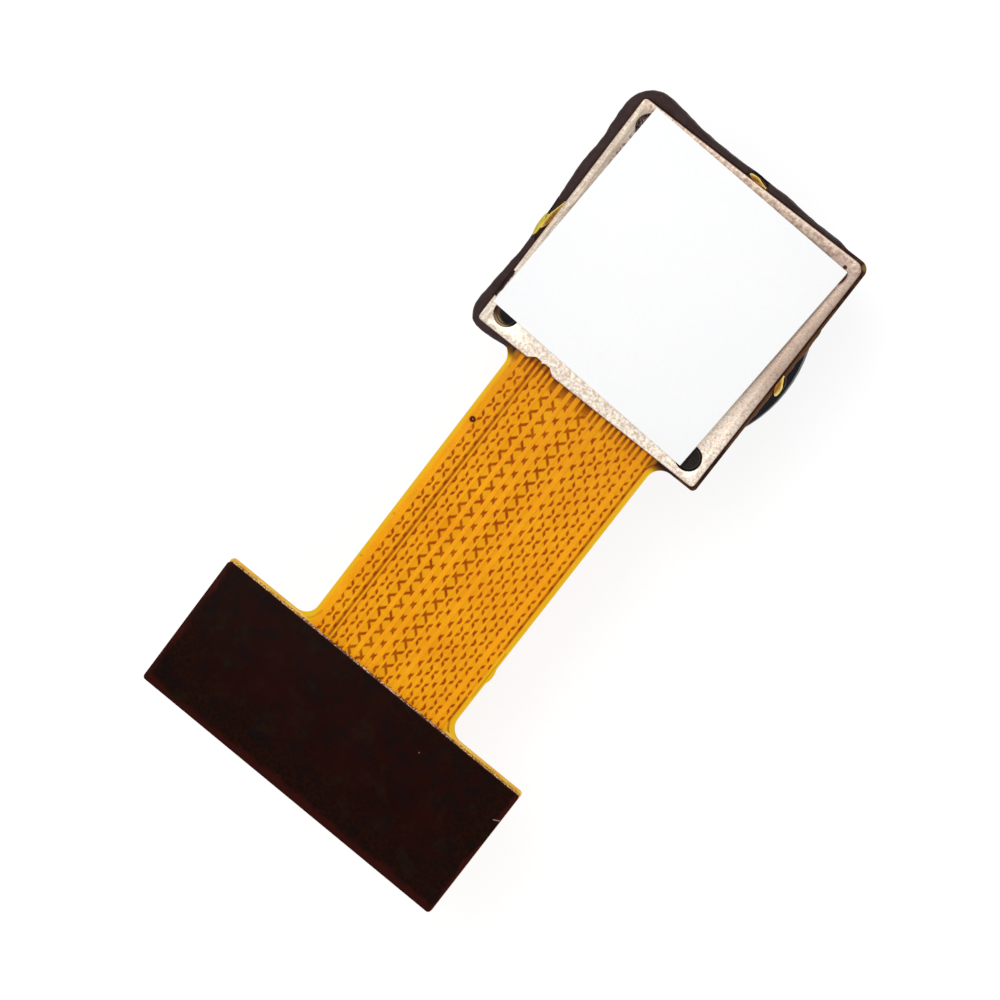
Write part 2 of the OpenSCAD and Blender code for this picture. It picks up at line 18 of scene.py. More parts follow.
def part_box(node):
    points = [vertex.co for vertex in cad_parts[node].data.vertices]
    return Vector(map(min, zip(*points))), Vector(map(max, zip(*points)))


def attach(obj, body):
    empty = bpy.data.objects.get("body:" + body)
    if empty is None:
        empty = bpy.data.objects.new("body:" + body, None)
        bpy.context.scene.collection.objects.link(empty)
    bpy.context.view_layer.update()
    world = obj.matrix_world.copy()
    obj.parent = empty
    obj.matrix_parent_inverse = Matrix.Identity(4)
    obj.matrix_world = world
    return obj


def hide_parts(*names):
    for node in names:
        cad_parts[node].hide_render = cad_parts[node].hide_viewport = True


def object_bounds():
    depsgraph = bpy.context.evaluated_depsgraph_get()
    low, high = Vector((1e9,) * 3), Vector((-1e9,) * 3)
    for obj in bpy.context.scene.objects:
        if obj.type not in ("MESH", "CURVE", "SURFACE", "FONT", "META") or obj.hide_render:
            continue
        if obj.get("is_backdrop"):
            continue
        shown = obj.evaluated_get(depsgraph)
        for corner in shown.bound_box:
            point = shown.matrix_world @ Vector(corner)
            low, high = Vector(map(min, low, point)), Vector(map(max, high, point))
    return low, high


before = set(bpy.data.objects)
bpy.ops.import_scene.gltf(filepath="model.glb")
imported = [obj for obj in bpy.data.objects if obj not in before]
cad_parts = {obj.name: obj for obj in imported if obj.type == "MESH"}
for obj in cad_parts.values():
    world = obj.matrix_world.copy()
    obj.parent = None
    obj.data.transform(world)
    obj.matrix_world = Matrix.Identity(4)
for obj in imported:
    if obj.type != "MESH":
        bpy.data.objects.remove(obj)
cad_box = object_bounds()
size_mm = [round(1000 * side, 2) for side in cad_box[1] - cad_box[0]]
print(len(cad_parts), "CAD nodes, size in mm:", size_mm)

# %% [markdown]
# ## Sizes that the lesson uses again
#
# One unit in Blender is a metre, and this part has details of a hundredth of a
# millimetre. Some of Blender's tools stop telling points apart at that scale, so
# every new piece is built a thousand times larger, where one unit reads as one
# millimetre, and shrunk at the end. Sizes below are in millimetres.
#
# Most places come from the CAD nodes' own boxes, so they follow the CAD if it changes.

# %% Sizes in millimetres
MM = 0.001


def add_object(name, data):
    """A new object in the scene."""
    made = bpy.data.objects.new(name, data)
    bpy.context.scene.collection.objects.link(made)
    return made


def box_mm(node):
    """Lowest and highest corner of a CAD node, in millimetres."""
    lo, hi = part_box(node)
    return Vector(lo) / MM, Vector(hi) / MM


plate_lo, plate_hi = box_mm("head_stiffener")
board_lo, board_hi = box_mm("tail_stiffener")
contacts_lo, contacts_hi = box_mm("contact_fingers")

head_y = (plate_lo.y + plate_hi.y) / 2
neck_x = (contacts_lo.x + contacts_hi.x) / 2
neck_half = 3.0
neck_round = 0.55
pad_half = (plate_hi.x - plate_lo.x) / 2 + 0.11
board_half_x = (board_hi.x - board_lo.x) / 2
neck_top_y = head_y - pad_half
neck_low_y = board_hi.y + 0.13
film_z = board_lo.z
test_hole = (neck_x - neck_half + 0.3, neck_low_y + 8.7)
print("head middle", round(head_y, 3), "neck", round(neck_low_y, 2), "to", round(neck_top_y, 2))

# %% [markdown]
# ## The camera
#
# The view is almost straight down on the back of the part, from 10 cm away, and leans
# by 11 degrees. A camera in Blender looks along its own -Z with +Y up. Its turn is
# given here as three directions, the picture's right, up and backwards, which are
# the columns of its rotation matrix. At this distance the near clipping plane has to
# come in as well, because the usual 10 cm would cut the whole part away.

# %% Place the camera
camera_data = bpy.data.cameras.new("camera")
camera = add_object("camera", camera_data)
bpy.context.scene.camera = camera

picture_right = Vector((0.77488, 0.60433, -0.18533))
picture_down = Vector((0.6221, -0.78106, 0.05411))
looking_along = Vector((-0.11205, -0.15723, -0.98118))
camera_place = Vector((10.807, 7.226, 101.380))

turn = Matrix((picture_right, -picture_down, -looking_along)).transposed()
camera.matrix_world = Matrix.Translation(camera_place * MM) @ turn.to_4x4()
camera_data.lens = 108
camera_data.sensor_width = 36
camera_data.clip_start = 0.002
camera_data.clip_end = 5
bpy.context.scene.view_settings.view_transform = "Standard"
print("camera at", [round(c, 1) for c in camera_place], "mm")

# %% [markdown]
# ## Helpers for node trees
#
# Finishes are made from nodes. These short functions add a node, fill its sockets and
# give back what comes out, so that a finish below reads like a recipe. A value that
# is a socket is linked, and any other value is typed into the socket. They work on the
# node tree that lies on the bench, and whatever starts a new tree puts it there.

# %% Node helpers
bench = {}


def srgb(red, green, blue):
    """A screen colour, 0 to 255, as the linear light that Blender mixes."""
    parts = [c / 255 for c in (red, green, blue)]
    return tuple(c / 12.92 if c < 0.04045 else ((c + 0.055) / 1.055) ** 2.4 for c in parts) + (1,)


def link(value, socket):
    """Links what a node puts out to a socket."""
    bench["tree"].links.new(value, socket)


def put(kind, fill=(), **settings):
    """Adds a node, sets its settings, and fills its sockets by name or number."""
    made = bench["tree"].nodes.new(kind)
    for name, value in settings.items():
        setattr(made, name, value)
    for key, value in dict(fill).items():
        if isinstance(value, bpy.types.NodeSocket):
            link(value, made.inputs[key])
        else:
            made.inputs[key].default_value = value
    return made


def calc(operation, *values, clamp=False):
    """One step of arithmetic."""
    fill = dict(enumerate(values))
    return put("ShaderNodeMath", fill, operation=operation, use_clamp=clamp).outputs[0]


def times(first, *others):
    """The product of its values."""
    for other in others:
        first = calc("MULTIPLY", first, other)
    return first


def off(value, middle):
    """How far a value is from a middle, on either side."""
    return calc("ABSOLUTE", calc("SUBTRACT", value, middle))


def ramp(value, start, end, low=0.0, high=1.0):
    """A smooth step from low to high while the value goes from start to end."""
    fill = {0: value, 1: start, 2: end, 3: low, 4: high}
    return put("ShaderNodeMapRange", fill, interpolation_type="SMOOTHSTEP").outputs[0]


def blend(share, first, second):
    """Mixes two colours. Each is a socket, or three screen values from 0 to 255."""
    first, second = (srgb(*c) if isinstance(c, tuple) else c for c in (first, second))
    return put("ShaderNodeMix", {0: share, 6: first, 7: second}, data_type="RGBA").outputs[2]


def layered(tone, *layers):
    """Lays colours over a first one. Each layer is a share and a colour."""
    for share, colour in layers:
        tone = blend(share, tone, colour)
    return tone


def group_of(name, inputs, *outputs):
    """Puts a new node group on the bench. An input without a number is a vector."""
    tree = bpy.data.node_groups.new(name, "ShaderNodeTree")
    bench["tree"] = tree
    print("group", name, "from", list(inputs), "to", list(outputs))
    for label, value in inputs.items():
        kind = "NodeSocketVector" if value is None else "NodeSocketFloat"
        socket = tree.interface.new_socket(label, in_out="INPUT", socket_type=kind)
        if value is not None:
            socket.default_value = value
    for label in outputs:
        kind = "NodeSocketVector" if label == "Place" else "NodeSocketFloat"
        tree.interface.new_socket(label, in_out="OUTPUT", socket_type=kind)
    ins = tree.nodes.new("NodeGroupInput").outputs
    return tree, ins, tree.nodes.new("NodeGroupOutput").inputs


def use(group, **values):
    """Places a node group. Gives back its outputs. _ in a name is a space."""
    fill = {name.replace("_", " "): value for name, value in values.items()}
    return put("ShaderNodeGroup", fill, node_tree=group).outputs


print("node helpers ready")

# %% [markdown]
# ## Shared effects as node groups
#
# The same few effects return in many finishes, so each is built once as a group with
# named sockets. All of them work in millimetres on Object coordinates, which stay
# fixed to the part however it is seen:
#
# - `place_mm` gives a point's place on the part.
# - `grain` is fine noise: the tooth of a rolled sheet, a moulded wall or paper.
# - `in_box` tells how deep a point lies inside a rectangle, for bands along edges.
# - `crossed_lines` is a mesh of thin lines at 45 degrees, as copper ground planes have.
# - `dust` scatters a few pale specks.

# %% Group: place on the part, in millimetres
place_mm, ins, outs = group_of("place_mm", {}, "Place", "X", "Y", "Z")
where = put("ShaderNodeTexCoord").outputs["Object"]
scaled = put("ShaderNodeVectorMath", {0: where, "Scale": 1 / MM}, operation="SCALE").outputs[0]
parts = put("ShaderNodeSeparateXYZ", {0: scaled}).outputs
link(scaled, outs["Place"])
for axis in "XYZ":
    link(parts[axis], outs[axis])

# %% Group: fine grain
grain, ins, outs = group_of(
    "grain", {"Place": None, "Size": 0.1, "Detail": 3.0, "Contrast": 1.0}, "Value"
)
frequency = calc("DIVIDE", 1.0, ins["Size"])
fill = {"Vector": ins["Place"], "Scale": frequency, "Detail": ins["Detail"], "Roughness": 0.6}
noise = put("ShaderNodeTexNoise", fill).outputs[0]
swing = times(calc("SUBTRACT", noise, 0.5), ins["Contrast"])
link(calc("ADD", swing, 0.5, clamp=True), outs["Value"])

# %% Group: inside a rectangle
in_box, ins, outs = group_of(
    "in_box",
    {
        "X": 0.0, "Y": 0.0, "Middle X": 0.0, "Middle Y": 0.0, "Half X": 1.0, "Half Y": 1.0,
        "Softness": 0.02,
    },
    "Mask", "Depth",
)
depths = [calc("SUBTRACT", ins["Half " + a], off(ins[a], ins["Middle " + a])) for a in "XY"]
depth = calc("MINIMUM", *depths)
link(ramp(depth, times(ins["Softness"], -1.0), ins["Softness"]), outs["Mask"])
link(depth, outs["Depth"])

# %% [markdown]
# The mesh is two families of parallel lines. Along x + y the lines repeat with the
# period, and along x - y too. Folding each sum into one period gives the distance to
# the nearest line, and a line is where that distance is under half the stroke. Stretch
# turns both families a little off 45 degrees, as film that shrank in one direction has
# them.

# %% Group: crossed lines
crossed_lines, ins, outs = group_of(
    "crossed_lines",
    {
        "X": 0.0, "Y": 0.0, "Start X": 0.0, "Start Y": 0.0, "Period": 0.55, "Stretch": 1.0,
        "Stroke": 0.055, "Softness": 0.012,
    },
    "Mask",
)
dx = times(calc("SUBTRACT", ins["X"], ins["Start X"]), ins["Stretch"])
dy = calc("SUBTRACT", ins["Y"], ins["Start Y"])
half_stroke = times(ins["Stroke"], 0.5)
inner = calc("SUBTRACT", half_stroke, ins["Softness"])
outer = calc("ADD", half_stroke, ins["Softness"])
families = []
for operation in ("ADD", "SUBTRACT"):
    painted_fold_shade = calc("PINGPONG", calc(operation, dx, dy), times(ins["Period"], 0.5))
    families.append(ramp(times(painted_fold_shade, 1 / math.sqrt(2)), inner, outer, 1.0, 0.0))
link(calc("MAXIMUM", *families), outs["Mask"])

# %% Group: scattered dust
dust, ins, outs = group_of(
    "dust", {"Place": None, "Spacing": 0.8, "Size": 0.03, "Share": 0.2}, "Mask"
)
density = calc("DIVIDE", 1.0, ins["Spacing"])
cells = put("ShaderNodeTexVoronoi", {"Vector": ins["Place"], "Scale": density}).outputs
reach = calc("DIVIDE", ins["Size"], ins["Spacing"])
spot = ramp(cells["Distance"], times(reach, 0.5), reach, 1.0, 0.0)
lottery = put("ShaderNodeSeparateXYZ", {0: cells["Color"]}).outputs[0]
link(times(spot, calc("LESS_THAN", lottery, ins["Share"])), outs["Mask"])

# %% [markdown]
# ## Finishes
#
# A finish is a material: one Principled shader whose colour, roughness and bump come
# from nodes. `start_finish` makes the material, puts it on the bench and sets what is
# the same all over. `grains`, `area`, `from_point` and `speckle` ask where a point lies,
# and `paint` wires the answers in. A bump's distance is in metres, so a hundredth of a
# millimetre is 0.00001.

# %% Finish helpers
def start_finish(name, specular=0.5, **constant):
    """Puts a new material on the bench. Gives it back with each point's X, Y and Z."""
    finish = bpy.data.materials.new(name)
    finish.use_nodes = True
    bench["name"], bench["tree"] = name, finish.node_tree
    bench["shader"] = finish.node_tree.nodes["Principled BSDF"]
    bench["shader"].inputs["Specular IOR Level"].default_value = specular
    for key, value in constant.items():
        bench["shader"].inputs[key.replace("_", " ")].default_value = value
    bench["place"] = use(place_mm)
    return finish, *(bench["place"][axis] for axis in "XYZ")


def grains(size, contrast, detail=3.0, stretch=None):
    """Noise between 0 and 1, with grains of a size in millimetres."""
    place = bench["place"]["Place"]
    if stretch:
        place = put("ShaderNodeMapping", {"Vector": place, "Scale": stretch}).outputs[0]
    return use(grain, Place=place, Size=size, Contrast=contrast, Detail=detail)[0]


def speckle(spacing, size, strength):
    """Scattered specks of dust."""
    specks = use(dust, Place=bench["place"]["Place"], Spacing=spacing, Size=size, Share=0.3)[0]
    return times(specks, strength)


def area(middle_x, middle_y, half_x, half_y, softness=0.02):
    """A rectangle seen from above: its Mask, and the Depth inside it."""
    return use(
        in_box, X=bench["place"]["X"], Y=bench["place"]["Y"], Middle_X=middle_x,
        Middle_Y=middle_y, Half_X=half_x, Half_Y=half_y, Softness=softness,
    )


def from_point(place_x, place_y):
    """How far each point lies from a place, seen from above."""
    flat = put("ShaderNodeCombineXYZ", {0: bench["place"]["X"], 1: bench["place"]["Y"]}).outputs[0]
    fill = {0: flat, 1: (place_x, place_y, 0)}
    return put("ShaderNodeVectorMath", fill, operation="DISTANCE").outputs["Value"]


def paint(tone, fine, rough, height=None, depth_mm=0.0, low=0.2, high=0.8):
    """Wires in the colour, a roughness that follows a grain, and relief from a height."""
    inputs = bench["shader"].inputs
    link(tone, inputs["Base Color"])
    link(ramp(fine, low, high, *rough), inputs["Roughness"])
    if height is not None:
        bump = put("ShaderNodeBump", {"Height": height, "Distance": depth_mm * MM})
        link(bump.outputs[0], inputs["Normal"])
    print("finish", bench["name"], "has", len(bench["tree"].nodes), "nodes")


def grained_finish(name, dark, light, size, depth_mm, rough=(0.4, 0.5), **constant):
    """The common finish: two near colours, a roughness and a relief, all from one grain."""
    finish = start_finish(name, **constant)[0]
    fine, broad = grains(size, 1.6), grains(size * 9, 1.4)
    both = calc("MULTIPLY_ADD", fine, 0.55, times(broad, 0.45))
    paint(blend(both, dark, light), fine, rough, fine, depth_mm)
    return finish


print("finish helpers ready")

# %% [markdown]
# ### Simple finishes
#
# Most of the hidden and small pieces need no more than the common finish: black
# moulded plastic has a fine tooth, solder and nickel are bright, ceramic is chalky.
# The colours are a little apart, so that no surface is one flat colour.

# %% Plastics, glues, metals
holder_finish = grained_finish(
    "holder_plastic", (24, 24, 26), (36, 36, 39), 0.05, 0.004, (0.5, 0.66), specular=0.35
)
barrel_finish = grained_finish(
    "barrel_plastic", (12, 13, 18), (22, 24, 32), 0.04, 0.002, (0.34, 0.44), specular=0.15
)
ring_finish = grained_finish(
    "ring_plastic", (15, 15, 16), (26, 26, 28), 0.03, 0.002, (0.6, 0.75), specular=0.25
)
tape_finish = grained_finish(
    "tape_film", (222, 221, 212), (240, 239, 232), 0.08, 0.002, (0.45, 0.6), specular=0.3
)
clear_glue_finish = grained_finish(
    "clear_glue", (196, 192, 160), (226, 223, 198), 0.15, 0.003, (0.15, 0.28), Coat_Weight=0.4
)
solder_finish = grained_finish(
    "solder", (186, 189, 194), (214, 216, 220), 0.03, 0.003, (0.2, 0.34), Metallic=1.0
)
ceramic_finish = grained_finish(
    "capacitor_ceramic", (146, 118, 90), (172, 142, 112), 0.03, 0.003, (0.5, 0.65)
)
silicon_finish = grained_finish(
    "silicon", (48, 54, 78), (66, 72, 98), 0.02, 0.0005, (0.16, 0.24), Metallic=0.6
)
gold_finish = grained_finish(
    "gold_plate", (214, 164, 74), (240, 198, 112), 0.04, 0.002, (0.18, 0.3), Metallic=1.0
)
print(len(bpy.data.materials), "finishes so far")

# %% [markdown]
# ### Glass
#
# Lens glass is clear, with a thin coating that reflects a little violet and green at a
# slant. Glass keeps a plain transmission weight. The tint of the coating comes from
# Layer Weight, which is allowed for gloss because it works in the shader.

# %% Lens, filter and cover glass
def glass_finish(name, face, slant, rough):
    """Clear glass, with one colour where it faces you and another at a slant."""
    finish = start_finish(name, Transmission_Weight=1.0, IOR=1.5)[0]
    facing = put("ShaderNodeLayerWeight", {"Blend": 0.35}).outputs["Facing"]
    paint(blend(facing, face, slant), grains(0.5, 1.2), (rough, rough + 0.04), low=0.3)
    return finish


lens_finish = glass_finish("lens_glass", (232, 238, 246), (150, 132, 214), 0.0)
filter_finish = glass_finish("filter_glass", (188, 226, 232), (214, 120, 140), 0.01)
cover_finish = glass_finish("package_glass", (236, 240, 240), (200, 214, 214), 0.01)

# %% [markdown]
# ### The flexible circuit
#
# The circuit is a sandwich: amber film, copper traces on the back side, a copper mesh
# on the lens side, and film again. From the back each trace shows as a bright raised
# band. Between two traces there is only film, and the mesh behind shows through as
# dark strokes. So the finish asks three things of each point: does it face the back,
# does it lie low between two traces, and is a line of the mesh behind it?
#
# The height of the real mesh does the first sorting. The tops of the traces stand
# 0.02 mm above the film, so a step on Z tells a trace from a gap.

# %% The amber circuit
flex_finish, x, y, z = start_finish("polyimide", specular=0.05)
neck_middle_y = (neck_low_y + neck_top_y) / 2
neck_length = neck_top_y - neck_low_y
traces_half = 2.72
off_neck = off(x, neck_x)
in_neck = area(neck_x, neck_middle_y, neck_half, neck_length / 2 + 0.8, 0.01)
facing = put("ShaderNodeNewGeometry").outputs["True Normal"]
up = put("ShaderNodeSeparateXYZ", {0: facing}).outputs["Z"]
on_back = ramp(up, 0.2, 0.6)
on_front = ramp(up, -0.6, -0.9)
low = ramp(z, film_z + 0.003, film_z + 0.014, 1.0, 0.0)
in_traces = area(neck_x + 0.1, neck_middle_y, traces_half, neck_length / 2 + 0.6, 0.01)["Mask"]
gap = times(low, on_back, in_traces)
mesh = use(
    crossed_lines, X=x, Y=y, Start_X=neck_x - 2.432, Start_Y=-9.25,
    Period=0.5528, Stretch=1.0125, Stroke=0.1, Softness=0.028,
)["Mask"]
cloud, drift, tooth = grains(1.3, 1.5), grains(0.4, 2.0), grains(0.07, 1.5)
print("traces reach", traces_half, "mm to each side of their middle")

# %% [markdown]
# The tops of the traces are film over copper: amber and a little cloudy, with painted glints in
# its fine tooth and a painted highlight on the traces' rounded edges. The film darkens a little
# toward the steel plate. In the gaps the colour is deeper and the strokes of the mesh lie on it.
# Painted shade darkens the gaps at the foot of each trace, and near the plate painted shade falls
# on gaps and shoulders, with a narrow painted shadow at the plate's edge and over the film where
# it goes under.

# %% Film over copper, and gaps
# Painted highlight on the traces' rounded edges.
painted_rib_highlight = times(
    ramp(z, film_z + 0.008, film_z + 0.016), ramp(z, film_z + 0.0195, film_z + 0.017)
)
film_tone = layered(
    blend(cloud, (236, 143, 12), (250, 168, 12)),
    (ramp(drift, 0.4, 0.9, 0.0, 0.5), (226, 150, 14)),
    # Painted glints: pale specks in the film's fine tooth.
    (ramp(tooth, 0.45, 0.95, 0, 0.55), (255, 188, 70)),
    (ramp(y, neck_top_y - 4.5, neck_top_y, 0.0, 0.14), (140, 60, 8)),
    (times(painted_rib_highlight, 0.6), (255, 184, 52)),
)
# Painted shade in the gaps, at the foot of each trace.
painted_foot_shade = ramp(z, film_z + 0.002, film_z + 0.006)
stroke = times(
    mesh, ramp(drift, 0.2, 0.8, 0.82, 1.0), ramp(y, neck_top_y - 0.2, neck_top_y - 0.32)
)
# Painted shade that the steel plate throws over the gaps near it.
painted_plate_shade = ramp(y, neck_top_y - 0.46, neck_top_y - 0.1, 0.0, 0.62)
gap_tone = layered(
    blend(cloud, (224, 142, 6), (236, 166, 22)),
    (times(painted_foot_shade, 0.6), (196, 104, 2)),
    (stroke, (154, 60, 0)),
    (painted_plate_shade, (120, 50, 4)),
    # A narrow painted shadow at the plate's edge.
    (ramp(y, neck_top_y - 0.12, neck_top_y + 0.04, 0.0, 0.8), (92, 34, 2)),
)
# Painted shade on the traces' shoulders near the plate.
painted_shoulder_shade = times(ramp(z, film_z + 0.0135, film_z + 0.0199, 0.8, 0.0), painted_plate_shade, in_traces)
tone = layered(
    film_tone,
    (gap, gap_tone),
    (painted_shoulder_shade, (146, 64, 6)),
    # Painted shade where the film goes under the plate.
    (ramp(y, neck_top_y + 0.02, neck_top_y + 0.1, 0.0, 0.5), (96, 44, 8)),
)
print("circuit finish:", len(bench["tree"].nodes), "nodes so far")

# %% [markdown]
# Long dark lines run along the neck, where a gap lies over solid copper. They follow
# the neck's own rounded corners too, where the copper stops and bare film begins. Bare
# film is yellower than film over copper.

# %% Dark lines
def dark_line(across, low_y, high_y, half_width, strength):
    """A soft line along the neck. across is measured from the neck's middle."""
    middle_y, half_y = (low_y + high_y) / 2, (high_y - low_y) / 2
    line = area(neck_x + across, middle_y, half_width, half_y, half_width * 0.8)
    return times(line["Mask"], strength)


low_corner_y, top_corner_y = neck_low_y + neck_round, neck_top_y - neck_round
lines = [
    dark_line(-2.12, neck_low_y, neck_top_y + 0.1, 0.045, 0.85),
    dark_line(-1.98, neck_low_y, neck_top_y + 0.1, 0.02, 0.6),
    dark_line(2.8, -12.1, top_corner_y, 0.04, 0.8),
    dark_line(2.8, low_corner_y, -14.1, 0.04, 0.85),
    dark_line(2.93, -14.05, -12.15, 0.018, 0.45),
    dark_line(-2.86, -10.88, -10.82, 0.045, 0.5),
    dark_line(-2.88, -12.68, -12.62, 0.04, 0.5),
]
bare = ramp(in_neck["Depth"], 0.05, 0.22, 1.0, 0.0)
toward_neck = calc("LESS_THAN", off_neck, 3.5)
toward_end = calc("GREATER_THAN", off(y, neck_middle_y), neck_length / 2 - neck_round)
corner = times(toward_neck, toward_end)
for side, corner_y, depth in (
    (-1, top_corner_y, 0.25), (-1, low_corner_y, 0.3),
    (1, top_corner_y, 0.8), (1, low_corner_y, 0.7),
):
    away = from_point(neck_x + side * (neck_half + neck_round), corner_y)
    line = ramp(off(away, neck_round + 0.2), 0.012, 0.06, depth, 0.0)
    lines.append(times(line, corner))
    outside = ramp(away, neck_round + 0.1, neck_round + 0.2, 1.0, 0.0)
    bare = calc("MAXIMUM", bare, times(outside, corner))
line_mask = lines[0]
for line in lines[1:]:
    line_mask = calc("MAXIMUM", line_mask, line)
line_mask = times(line_mask, ramp(drift, 0.1, 0.7, 0.7, 1.0))

in_shade = times(ramp(y, neck_top_y - 0.4, neck_top_y - 0.12), ramp(off_neck, 2.68, 2.78))
tone = layered(
    tone,
    (bare, blend(cloud, (226, 176, 14), (238, 186, 38))),
    (times(in_shade, 0.75), (128, 66, 8)),
    (line_mask, (140, 58, 0)),
    (ramp(from_point(*test_hole), 0.1, 0.13, 0.85, 0.0), (120, 54, 2)),
)
print(len(lines), "dark lines, test hole at", [round(place, 2) for place in test_hole])

# %% [markdown]
# The strip beside the tail's board is bare film as well. Round the steel plate the rim of the pad
# is stained dark by the glue that ran over it, and painted shade of the plate darkens it further.
# It stays amber where the glue is thin, and golden at the keyed corner and on the outer edge of
# the left lug. The cut edges of the film let light through, so they are pale gold.

# %% Bare strip, stained rim, cut edges
beside = ramp(off_neck, 2.9, 3.0)
strip = times(ramp(y, neck_low_y + 0.02, neck_low_y - 0.02), beside)
strip_tone = layered(
    blend(drift, (222, 160, 36), (246, 200, 86)),
    (ramp(tooth, 0.55, 1.0, 0.0, 0.5), (255, 226, 150)),
)
# Glue stain on the pad's rim, darkened further with painted shade of the plate.
rim = times(ramp(y, neck_top_y - 0.3, neck_top_y + 0.02), beside)
rim = calc("MAXIMUM", rim, ramp(y, neck_top_y + 0.2, neck_top_y + 0.3))
keyed_corner = ramp(from_point(plate_hi.x - 0.02, plate_hi.y - 0.02), 0.05, 0.15, 1.0, 0.0)
left_lug = area(plate_lo.x - 0.28, -0.28, 0.1, 0.36, 0.05)["Mask"]
rim_tone = layered(
    blend(ramp(drift, 0.45, 0.85, 0.0, 0.55), (52, 26, 21), (110, 70, 32)),
    (keyed_corner, (122, 96, 50)),
    (left_lug, (222, 206, 74)),
)
front_tone = layered(
    blend(cloud, (214, 132, 14), (232, 152, 24)),
    (times(mesh, in_neck["Mask"]), (240, 176, 62)),
)
tone = layered(
    tone,
    (strip, strip_tone),
    (ramp(calc("ABSOLUTE", up), 0.5, 0.15), (240, 190, 60)),
    (rim, rim_tone),
    (on_front, front_tone),
)
paint(tone, tooth, (0.34, 0.46), tooth, 0.0015)

# %% [markdown]
# ### The tail's dark laminate
#
# The stiffener is a very dark red-brown board. It is almost black, with a faint red
# cloud in the middle, thin red edges where light gets through, a little dust and one
# short scratch near its right edge.

# %% The dark laminate
board_finish, x, y, z = start_finish("dark_laminate", specular=0.025)
middle, half = (board_lo + board_hi) / 2, (board_hi - board_lo) / 2
cloud, fine = grains(1.6, 1.8), grains(0.12, 2.2, 4.0)
patch, soot = grains(0.9, 2.6, 4.0), grains(0.5, 2.8, 4.0)
heart = area(middle.x, middle.y + 0.4, half.x - 1.2, half.y - 0.9, 1.4)["Mask"]
uneven = times(calc("SUBTRACT", patch, 0.5), 0.3)
short_edge = calc("ADD", calc("SUBTRACT", half.x, off(x, middle.x)), uneven)
short_edge = times(short_edge, ramp(x, middle.x - 1, middle.x + 1, 0.5, 1.0))
low_edge = calc("ADD", calc("SUBTRACT", y, board_lo.y), uneven)
rim = area(middle.x, middle.y, half.x, half.y)["Depth"]
tone = layered(
    blend(fine, (10, 3, 1), (35, 13, 6)),
    (times(heart, 0.85), blend(cloud, (17, 1, 1), (38, 8, 4))),
    (ramp(patch, 0.5, 1.0, 0.0, 0.6), (27, 19, 9)),
    (ramp(soot, 0.45, 0.9, 0.0, 0.7), (14, 8, 8)),
    (ramp(short_edge, 0.03, 0.14, 0.7, 0.0), (60, 18, 15)),
    (ramp(low_edge, 0.12, 0.36, 0.75, 0.0), (52, 14, 10)),
    (ramp(rim, 0.0, 0.03, 0.5, 0.0), (58, 20, 14)),
    (speckle(0.9, 0.035, 0.36), (160, 150, 140)),
)
print("laminate, half size", [round(side, 2) for side in half])

# %% [markdown]
# The scratch is a rectangle again, but a slanted one. One Mapping node moves its middle
# to the origin, a second one turns it, and then it is as simple as the others.

# %% A short scratch
scratch = bench["place"]["Place"]
for change in ({"Location": (-6.2, 16.68, 0)}, {"Rotation": (0, 0, math.radians(-28))}):
    scratch = put("ShaderNodeMapping", {"Vector": scratch, **change}).outputs[0]
along, across = put("ShaderNodeSeparateXYZ", {0: scratch}).outputs[:2]
scratch = use(in_box, X=along, Y=across, Half_X=0.12, Half_Y=0.012, Softness=0.012)["Mask"]
tone = blend(times(scratch, 0.7), tone, (176, 168, 162))
paint(tone, fine, (0.38, 0.5), fine, 0.0012)

# %% [markdown]
# ### The steel plate
#
# The back plate is thin rolled steel with a satin tooth. Metal has no colour of its own but
# reflects its surroundings through its tint, so the tint is a warm grey. Two grains lie over each
# other: a fine sparkle, and short streaks along the rolling. It is lighter toward the neck. Beside
# the liner a cloth left long wipe marks, and the far edge is blotched.

# %% The steel
steel_finish, x, y, z = start_finish("plate_steel", Metallic=1.0)
sparkle, streak = grains(0.09, 3.4), grains(0.16, 2.2, stretch=(1.0, 3.2, 1.0))
stain, blotch = grains(0.9, 2.0), grains(0.15, 3.2)
wipe = grains(0.07, 3.5, 2.0, stretch=(1.0, 0.12, 1.0))
near_neck = ramp(y, plate_lo.y + 0.7, plate_lo.y + 4.8, 1.0, 0.0)
cool = blend(sparkle, (137, 115, 103), (162, 140, 127))
warm = blend(sparkle, (196, 175, 159), (248, 239, 225))
wiped = layered(
    blend(wipe, (136, 124, 110), (208, 200, 184)),
    (ramp(y, 0.8, 3.0, 0.0, 0.5), (142, 134, 120)),
)
tone = layered(
    blend(near_neck, cool, warm),
    (times(streak, 0.3), (176, 154, 140)),
    (times(stain, 0.25), (200, 190, 172)),
    (ramp(x, plate_lo.x + 0.5, plate_lo.x + 0.3, 0.0, 0.5), wiped),
    (
        ramp(y, plate_hi.y - 0.4, plate_hi.y - 0.25, 0.0, 0.6),
        blend(blotch, (134, 102, 94), (212, 196, 176)),
    ),
)
print("steel finish:", len(bench["tree"].nodes), "nodes so far")

# %% [markdown]
# The far edge gets a painted highlight, mostly on its right half. Glue dirt gathered along the
# liner's left edge, whose slanted line is given as x for each y. The plate's rim is darker, and
# one smear of black glue lies over its left edge.

